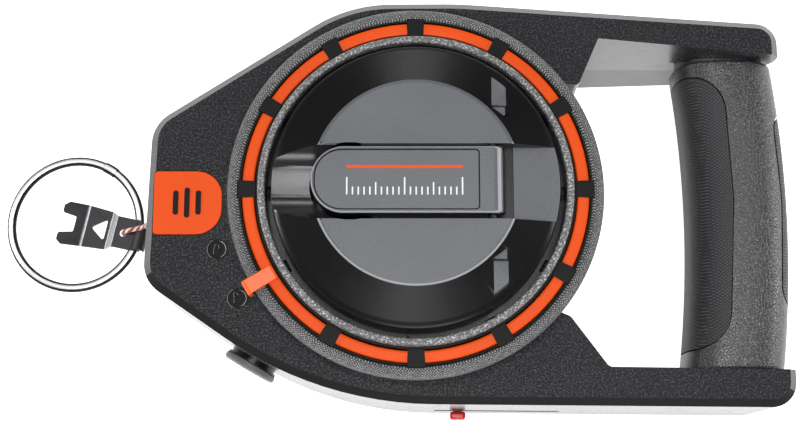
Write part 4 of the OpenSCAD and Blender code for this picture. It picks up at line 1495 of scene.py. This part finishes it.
def badge_outline(grow: float) -> list[Flat]:
    """Outline of the arm's plate, round at its left end."""
    corners = [mms(-39.5, -11.7, 10.5), mms(24.4, -11.7, 1.2), mms(24.4, 11.7, 1.2), mms(-39.5, 11.7, 10.5)]
    return rounded(grown(corners, grow), 10)


# ---------------------------------------------------------------- grip


@dataclass
class Grip:
    """Bowed grip sleeve with its two rubber pads."""

    finishes: Finishes
    width: float = mm(41.5)
    depth: float = mm(41)
    axis_x: float = mm(132.2)
    axis_z: float = mm(31)
    bow: float = mm(4.4)
    low: float = mm(-70.6)
    high: float = mm(60.2)

    def centre(self, y: float) -> float:
        """X of the grip's axis at a height y."""
        return self.axis_x + self.bow * (1 - ((y + mm(3)) / mm(65)) ** 2)

    def form(self, name: str, inset: float, low: float, high: float) -> Shape:
        """Rounded bar, bowed away from the hand opening.

        Args:
            name: name of the shape.
            inset: how far the skin lies under the sleeve's surface.
            low: lower end.
            high: upper end.

        Returns:
            The bar.
        """
        w, d = self.width / 2 - inset, self.depth / 2 - inset
        points = []
        for k in range(56):
            a = math.tau * k / 56
            c, s = math.cos(a), math.sin(a)
            x = w * math.copysign(abs(c) ** 0.72, c)
            z = d * math.copysign(abs(s) ** 0.72, s)
            points.append((self.centre(low) + x, low, self.axis_z + z))
        bar = Shape.chain(name, points, close=True)
        bpy.ops.mesh.edge_face_add()
        rows = 24
        for k in range(rows):
            y0, y1 = (low + (high - low) * (k + j) / rows for j in (0, 1))
            bar.extrude((self.centre(y1) - self.centre(y0), y1 - y0, 0))
        return bar.mend()

    def zone(self, inner: bool, grow: float) -> Shape:
        """Cutter that marks out one pad, seen along Z."""
        if inner:
            corners = [
                mms(100, -62, 1), mms(127.5, -62, 16), mms(131.6, 0, 60),
                mms(129.5, 53.5, 16), mms(100, 53.5, 1),
            ]
        else:
            corners = [
                mms(175, 40, 1), mms(150.5, 40, 10), mms(153, 0, 60), mms(150.5, -46, 10), mms(175, -46, 1)
            ]
        return Shape.prism("zone", rounded(grown(corners, grow), 10), mm(-5), mm(75))

    def pad(self, name: str, inner: bool) -> Shape:
        """One pad: the grip's skin inside its zone."""
        skin = self.form(name, mm(0.0), self.low, self.high)
        skin.meet(self.form("core", mm(2.0), self.low - mm(3), self.high + mm(3)))
        skin.meet(self.zone(inner, mm(-0.15)), Cut.KEEP)
        skin.bevel(mm(0.35), 3, 40).smooth(40).paint(self.finishes.pad)
        return skin

    def build(self) -> None:
        """Builds the sleeve and both pads."""
        sleeve = self.form("grip_cover", 0.0, self.low, self.high).bevel(mm(1.6), 4, 60)
        sleeve.meet(self.form("neck", mm(3), self.high - mm(1), mm(64.4)), Cut.ADD)
        sleeve.meet(Housing.upper_arm(mm(-0.15)))
        for inner in (True, False):
            seat = self.form("seat", mm(-1), self.low + mm(1.2), self.high - mm(1.2))
            seat.meet(self.form("core", mm(2.1), self.low - mm(3), self.high + mm(3)))
            seat.meet(self.zone(inner, mm(0.45)), Cut.KEEP)
            sleeve.meet(seat)
        tube_x = self.axis_x + mm(0.2)
        sleeve.meet(Shape.rod("tube", (tube_x, mm(-90), self.axis_z), (tube_x, mm(80), self.axis_z), mm(9), 32))
        sleeve.bevel(mm(0.3), 3, 38).smooth(36).paint(self.finishes.sleeve)
        sleeve.fit("housing", "grip_plastic", "grip_sleeve")
        self.pad("finger_pad", True).fit("housing", "grip_rubber", "grip_pad_inner")
        self.pad("palm_pad", False).fit("housing", "grip_rubber", "grip_pad_outer")


# ---------------------------------------------------------------- line, hook and ring


@dataclass
class LineEnd:
    """Free chalk line with its hook and pull ring."""

    finishes: Finishes
    thick: float = mm(2)
    ring_radius: float = mm(28.85)
    wire: float = mm(1.95)
    ring_centre: Flat = mms(-151.3, -1.3)
    turn: float = 12.0
    height: float = mm(4.4)
    sheet: float = mm(1.4)
    route: tuple = (
        mms(-110.8, -4, 20), mms(-112, -4, 20), mms(-113.5, -4, 19.4), mms(-115.2, -3.9, 18),
        mms(-116.6, -3.7, 15.8), mms(-117.4, -3.5, 13.3), mms(-118.7, -3.7, 11.2), mms(-120.8, -4.2, 10.2),
        mms(-123.4, -4.9, 10.2), mms(-125.9, -5.4, 10.2), mms(-128, -5.8, 9), mms(-129.1, -6, 6.9),
        mms(-129.2, -6.1, 4.6), mms(-129, -6.2, 2.4),
    )

    def knuckle(self) -> Matrix:
        """Frame of the hook: origin at its knuckle, +X towards the claws."""
        dx, dy = turned(self.ring_radius, 0, -self.turn)
        spot = (self.ring_centre[0] + dx, self.ring_centre[1] + dy, self.height)
        return Matrix.Translation(spot) @ Matrix.Rotation(math.radians(180 - self.turn), 4, "Z")

    def ring_frame(self) -> Matrix:
        """Frame of the ring: origin at its centre, +Z along its axis."""
        tilt = math.asin((self.height - self.wire - mm(0.1)) / (2 * self.ring_radius))
        return self.knuckle() @ Matrix.Rotation(tilt, 4, "Y") @ Matrix.Translation((self.ring_radius, 0, 0))

    def tube(self, name: str, route: Sequence[Point], radius: float, twist: float) -> Shape:
        """A round line along a route, with UVs that run round and along it.

        Args:
            name: name of the piece.
            route: points of the centreline.
            radius: radius of the line.
            twist: strand turns per metre.

        Returns:
            The tube.
        """
        calm()
        curve = bpy.data.curves.new(name, "CURVE")
        curve.dimensions = "3D"
        curve.bevel_depth = radius
        curve.bevel_resolution = 5
        curve.resolution_u = 6
        curve.use_fill_caps = True
        spline = curve.splines.new("BEZIER")
        spline.bezier_points.add(len(route) - 1)
        for knot, spot in zip(spline.bezier_points, route):
            knot.co = spot
            knot.handle_left_type = knot.handle_right_type = "AUTO"
        obj = bpy.data.objects.new(name, curve)
        bpy.context.scene.collection.objects.link(obj)
        obj.select_set(True)
        bpy.context.view_layer.objects.active = obj
        bpy.ops.object.convert(target="MESH")
        shape = Shape(name, bpy.context.object)
        self.unroll(shape, [Vector(p) for p in route], twist)
        return shape.smooth(60)

    @staticmethod
    def unroll(shape: Shape, route: list[Vector], twist: float) -> None:
        """Writes UVs: u round the line from 0 to 1, v the strand turns along it."""
        mesh = shape.obj.data
        layer = mesh.uv_layers.active or mesh.uv_layers.new(name="UVMap")
        lengths = [0.0]
        for a, b in zip(route, route[1:]):
            lengths.append(lengths[-1] + (b - a).length)
        spots = []
        for vertex in mesh.vertices:
            best = (1e9, 0.0, 0.0)
            for i, (a, b) in enumerate(zip(route, route[1:])):
                way = b - a
                t = max(0.0, min(1.0, (vertex.co - a).dot(way) / way.length_squared))
                off = vertex.co - (a + way * t)
                side = way.normalized().cross(Vector((0.13, 0.97, 0.2))).normalized()
                up = way.normalized().cross(side)
                angle = math.atan2(off.dot(up), off.dot(side)) / math.tau
                best = min(best, (off.length, angle, lengths[i] + way.length * t))
            spots.append((best[1], best[2] * twist))
        for face in mesh.polygons:
            us = [spots[mesh.loops[k].vertex_index][0] for k in face.loop_indices]
            high = max(us)
            for k, u in zip(face.loop_indices, us):
                layer.data[k].uv = (u + 1.0 if high - u > 0.5 else u, spots[mesh.loops[k].vertex_index][1])

    def build_line(self) -> None:
        """The free line from the outlet down to the hook."""
        line = self.tube("free_line", self.route, self.thick / 2, 600)
        line.paint(self.finishes.line)
        obj = line.fit("line_end", "chalk_line", "line_lead")

    def build_hook(self) -> bpy.types.Object:
        """Forked sheet-steel hook with a folded knuckle and a triangular window."""
        t = self.sheet
        top = [mms(-1, 1.6), mms(10, 1.6), mms(12.6, -0.6), mms(24, -0.6), mms(36, -4.2),
               mms(36.4, -2.9), (mm(24.2), mm(-0.6) + t), (mm(12.9), mm(-0.6) + t), (mm(10.3), mm(1.6) + t),
               (-mm(1), mm(1.6) + t)]
        blank = Shape.slab("claw_hook", [(x, mm(-12), z) for x, z in top], (0, mm(24), 0))
        lower = [mms(-1, -7, 1), mms(9.8, -7, 2), mms(12.8, -8.6, 2), mms(24, -9.4, 6), mms(34, -9.8, 0.8),
                 mms(37, -7.6, 0.8), mms(36, -4.6, 0.8), mms(29.2, -3.5, 0.8)]
        plan = lower + [(x, -y, r) for x, y, r in reversed(lower)]
        blank.meet(Shape.prism("plan", rounded(plan, 4), mm(-9), mm(9)), Cut.KEEP)
        knuckle = Shape.rod("knuckle", mms(0, -6, 0), mms(0, 6, 0), mm(4.2), 48)
        blank.meet(knuckle, Cut.ADD)
        blank.meet(Shape.rod("eye", mms(0, -9, 0), mms(0, 9, 0), mm(2.95), 48))
        blank.meet(Shape.cube("split", mms(-3.2, -9, -5), mms(-1.4, 9, 0)))
        blank.meet(Shape.rod("hole", mms(6.2, 0, -0.1), mms(6.2, 0, 6), mm(1.7), 32))
        window = [mms(14.6, -5, 0.7), mms(21.4, 0, 0.9), mms(14.6, 5, 0.7)]
        blank.meet(Shape.prism("window", rounded(window, 4), mm(-9), mm(9)))
        blank.bevel(mm(0.22), 2, 30)
        blank.smooth(40).paint(self.finishes.hook)
        blank.obj.data.transform(self.knuckle())
        return blank.fit("line_end", "blackened_steel", "line_hook")

    def build_ring(self) -> bpy.types.Object:
        """Chromed split ring."""
        calm()
        bpy.ops.mesh.primitive_torus_add(
            major_radius=self.ring_radius, minor_radius=self.wire, major_segments=180, minor_segments=24
        )
        ring = Shape("grab_ring", bpy.context.object)
        ring.meet(Shape.cube("split", mms(26, -0.1, -4), mms(32, 0.1, 4)).turn(-109))
        ring.bevel(mm(0.15), 2, 50).smooth(40).paint(self.finishes.chrome)
        ring.obj.data.transform(self.ring_frame())
        return ring.fit("ring", "ring_chrome", "pull_ring")

    def build_joint(self) -> bpy.types.Object:
        """Crimped sleeve over the ring's split."""
        r = self.wire + mm(0.33)
        section = [(self.ring_radius + x, z) for x, z in (turned(r, 0, 15 * k) for k in range(24))]
        sleeve = Shape.chain("ring_sleeve", [(x, 0.0, z) for x, z in section], close=True)
        bpy.ops.mesh.edge_face_add()
        bpy.ops.mesh.spin(steps=10, angle=math.radians(12), center=(0, 0, 0), axis=UP)
        sleeve.mend().turn(-103)
        sleeve.bevel(mm(0.2), 2, 50).smooth(40).paint(self.finishes.chrome)
        sleeve.obj.data.transform(self.ring_frame())
        return sleeve.fit("ring", "ring_chrome", "ring_ferrule")

    def build(self) -> None:
        """Builds the line with all that hangs on it."""
        hook = self.build_hook()
        ring = self.build_ring()
        joint = self.build_joint()
        self.build_line()


# ---------------------------------------------------------------- inner pieces


def dress_inner(finishes: Finishes) -> None:
    """Gives every CAD node that stays its own finish."""
    choice = {
        finishes.steel: ("axle", "axle_clip", "planet_carrier", "carrier_screws", "planet_pins",
                         "knob_pin", "lock_pawl", "shell_screws", "line_outlet", "grip_core"),
        finishes.brass: ("planet_gear_1", "planet_gear_2", "planet_gear_3", "sun_gear"),
        finishes.grey: ("ring_gear",),
        finishes.black: ("hinge_pin", "spool", "bulkhead", "filler_neck", "chalk_gate"),
        finishes.wound: ("wound_line", "line_run"),
        finishes.felt: ("felt_wipers",),
    }
    for material, names in choice.items():
        for name in names:
            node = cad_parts[name]
            node.data.materials.clear()
            node.data.materials.append(material)
            log.info("%s: dressed", name)


# ---------------------------------------------------------------- stage


@dataclass
class Stage:
    """Pale floor, soft studio light and the camera."""

    lens: float = 63.0
    tilt: float = 11.75
    eye: Point = mms(-6.3, -123.65, 617.2)

    def floor(self) -> None:
        """A pale sweep of floor that glows a little, as a light table does."""
        calm()
        bpy.ops.mesh.primitive_plane_add(size=6, location=(0, 0, mm(-0.2)))
        floor = bpy.context.object
        floor.name = "floor"
        m = Maker("floor")
        tone = m.noise(2, 2)
        colour = m.blend(tone, (0.9, 0.9, 0.9), (0.92, 0.92, 0.92))
        glow = {"Emission_Color": (1, 1, 1, 1), "Emission_Strength": 1.0}
        material = m.done(Base_Color=colour, Roughness=0.9, **glow)
        floor.data.materials.append(material)

    def lamp(self, name: str, spot: Point, aim: Point, size: Flat, power: float) -> None:
        """A soft box at a spot, turned to a point."""
        light = bpy.data.lights.new(name, "AREA")
        light.shape = "RECTANGLE"
        light.size, light.size_y = size
        light.energy = power
        obj = bpy.data.objects.new(name, light)
        bpy.context.scene.collection.objects.link(obj)
        obj.location = spot
        obj.rotation_euler = (Vector(aim) - Vector(spot)).to_track_quat("-Z", "Y").to_euler()

    def build(self) -> None:
        """Sets the whole stage."""
        self.floor()
        self.lamp("overhead", (0.02, -0.3, 1.5), (0.02, -0.3, 0), (0.45, 1.1), 11.5)
        self.lamp("strip", (-0.17, 0.05, 1.5), (-0.17, 0.05, 0), (0.1, 2.0), 7.5)
        self.lamp("left", (-1.3, 0.1, 0.5), (0, 0, 0), (0.5, 0.35), 7)
        self.lamp("right", (1.3, 0.15, 0.5), (0, 0, 0), (0.5, 0.35), 7)
        self.lamp("back", (0.0, 1.3, 0.75), (0, 0, 0), (0.45, 0.25), 2)
        self.lamp("front", (0.1, -1.2, 0.5), (0, 0, 0), (0.9, 0.3), 5)
        self.lamp("accent", (0.33, 0.06, 1.5), (0.33, 0.06, 0), (0.2, 0.2), 1.5)
        world = bpy.data.worlds.new("studio")
        bpy.context.scene.world = world
        world.use_nodes = True
        world.node_tree.nodes["Background"].inputs[0].default_value = (1, 1, 1, 1)
        world.node_tree.nodes["Background"].inputs[1].default_value = 0.04
        bpy.context.scene.view_settings.view_transform = "Standard"
        camera = bpy.data.cameras.new("camera")
        camera.lens = self.lens
        camera.sensor_width = 36
        obj = bpy.data.objects.new("camera", camera)
        bpy.context.scene.collection.objects.link(obj)
        obj.location = self.eye
        obj.rotation_euler = (math.radians(self.tilt), 0, 0)
        bpy.context.scene.camera = obj


def main() -> None:
    """Builds the stage and every piece of the reel."""
    Stage().build()
    finishes = Finishes()
    LineEnd(finishes).build()
    Housing(finishes).build()
    Dial(finishes).build()
    Crank(finishes).build()
    Grip(finishes).build()
    Filler(finishes).build()
    Slider(finishes).build()
    dress_inner(finishes)
    calm()


if __name__ == "__main__":
    main()
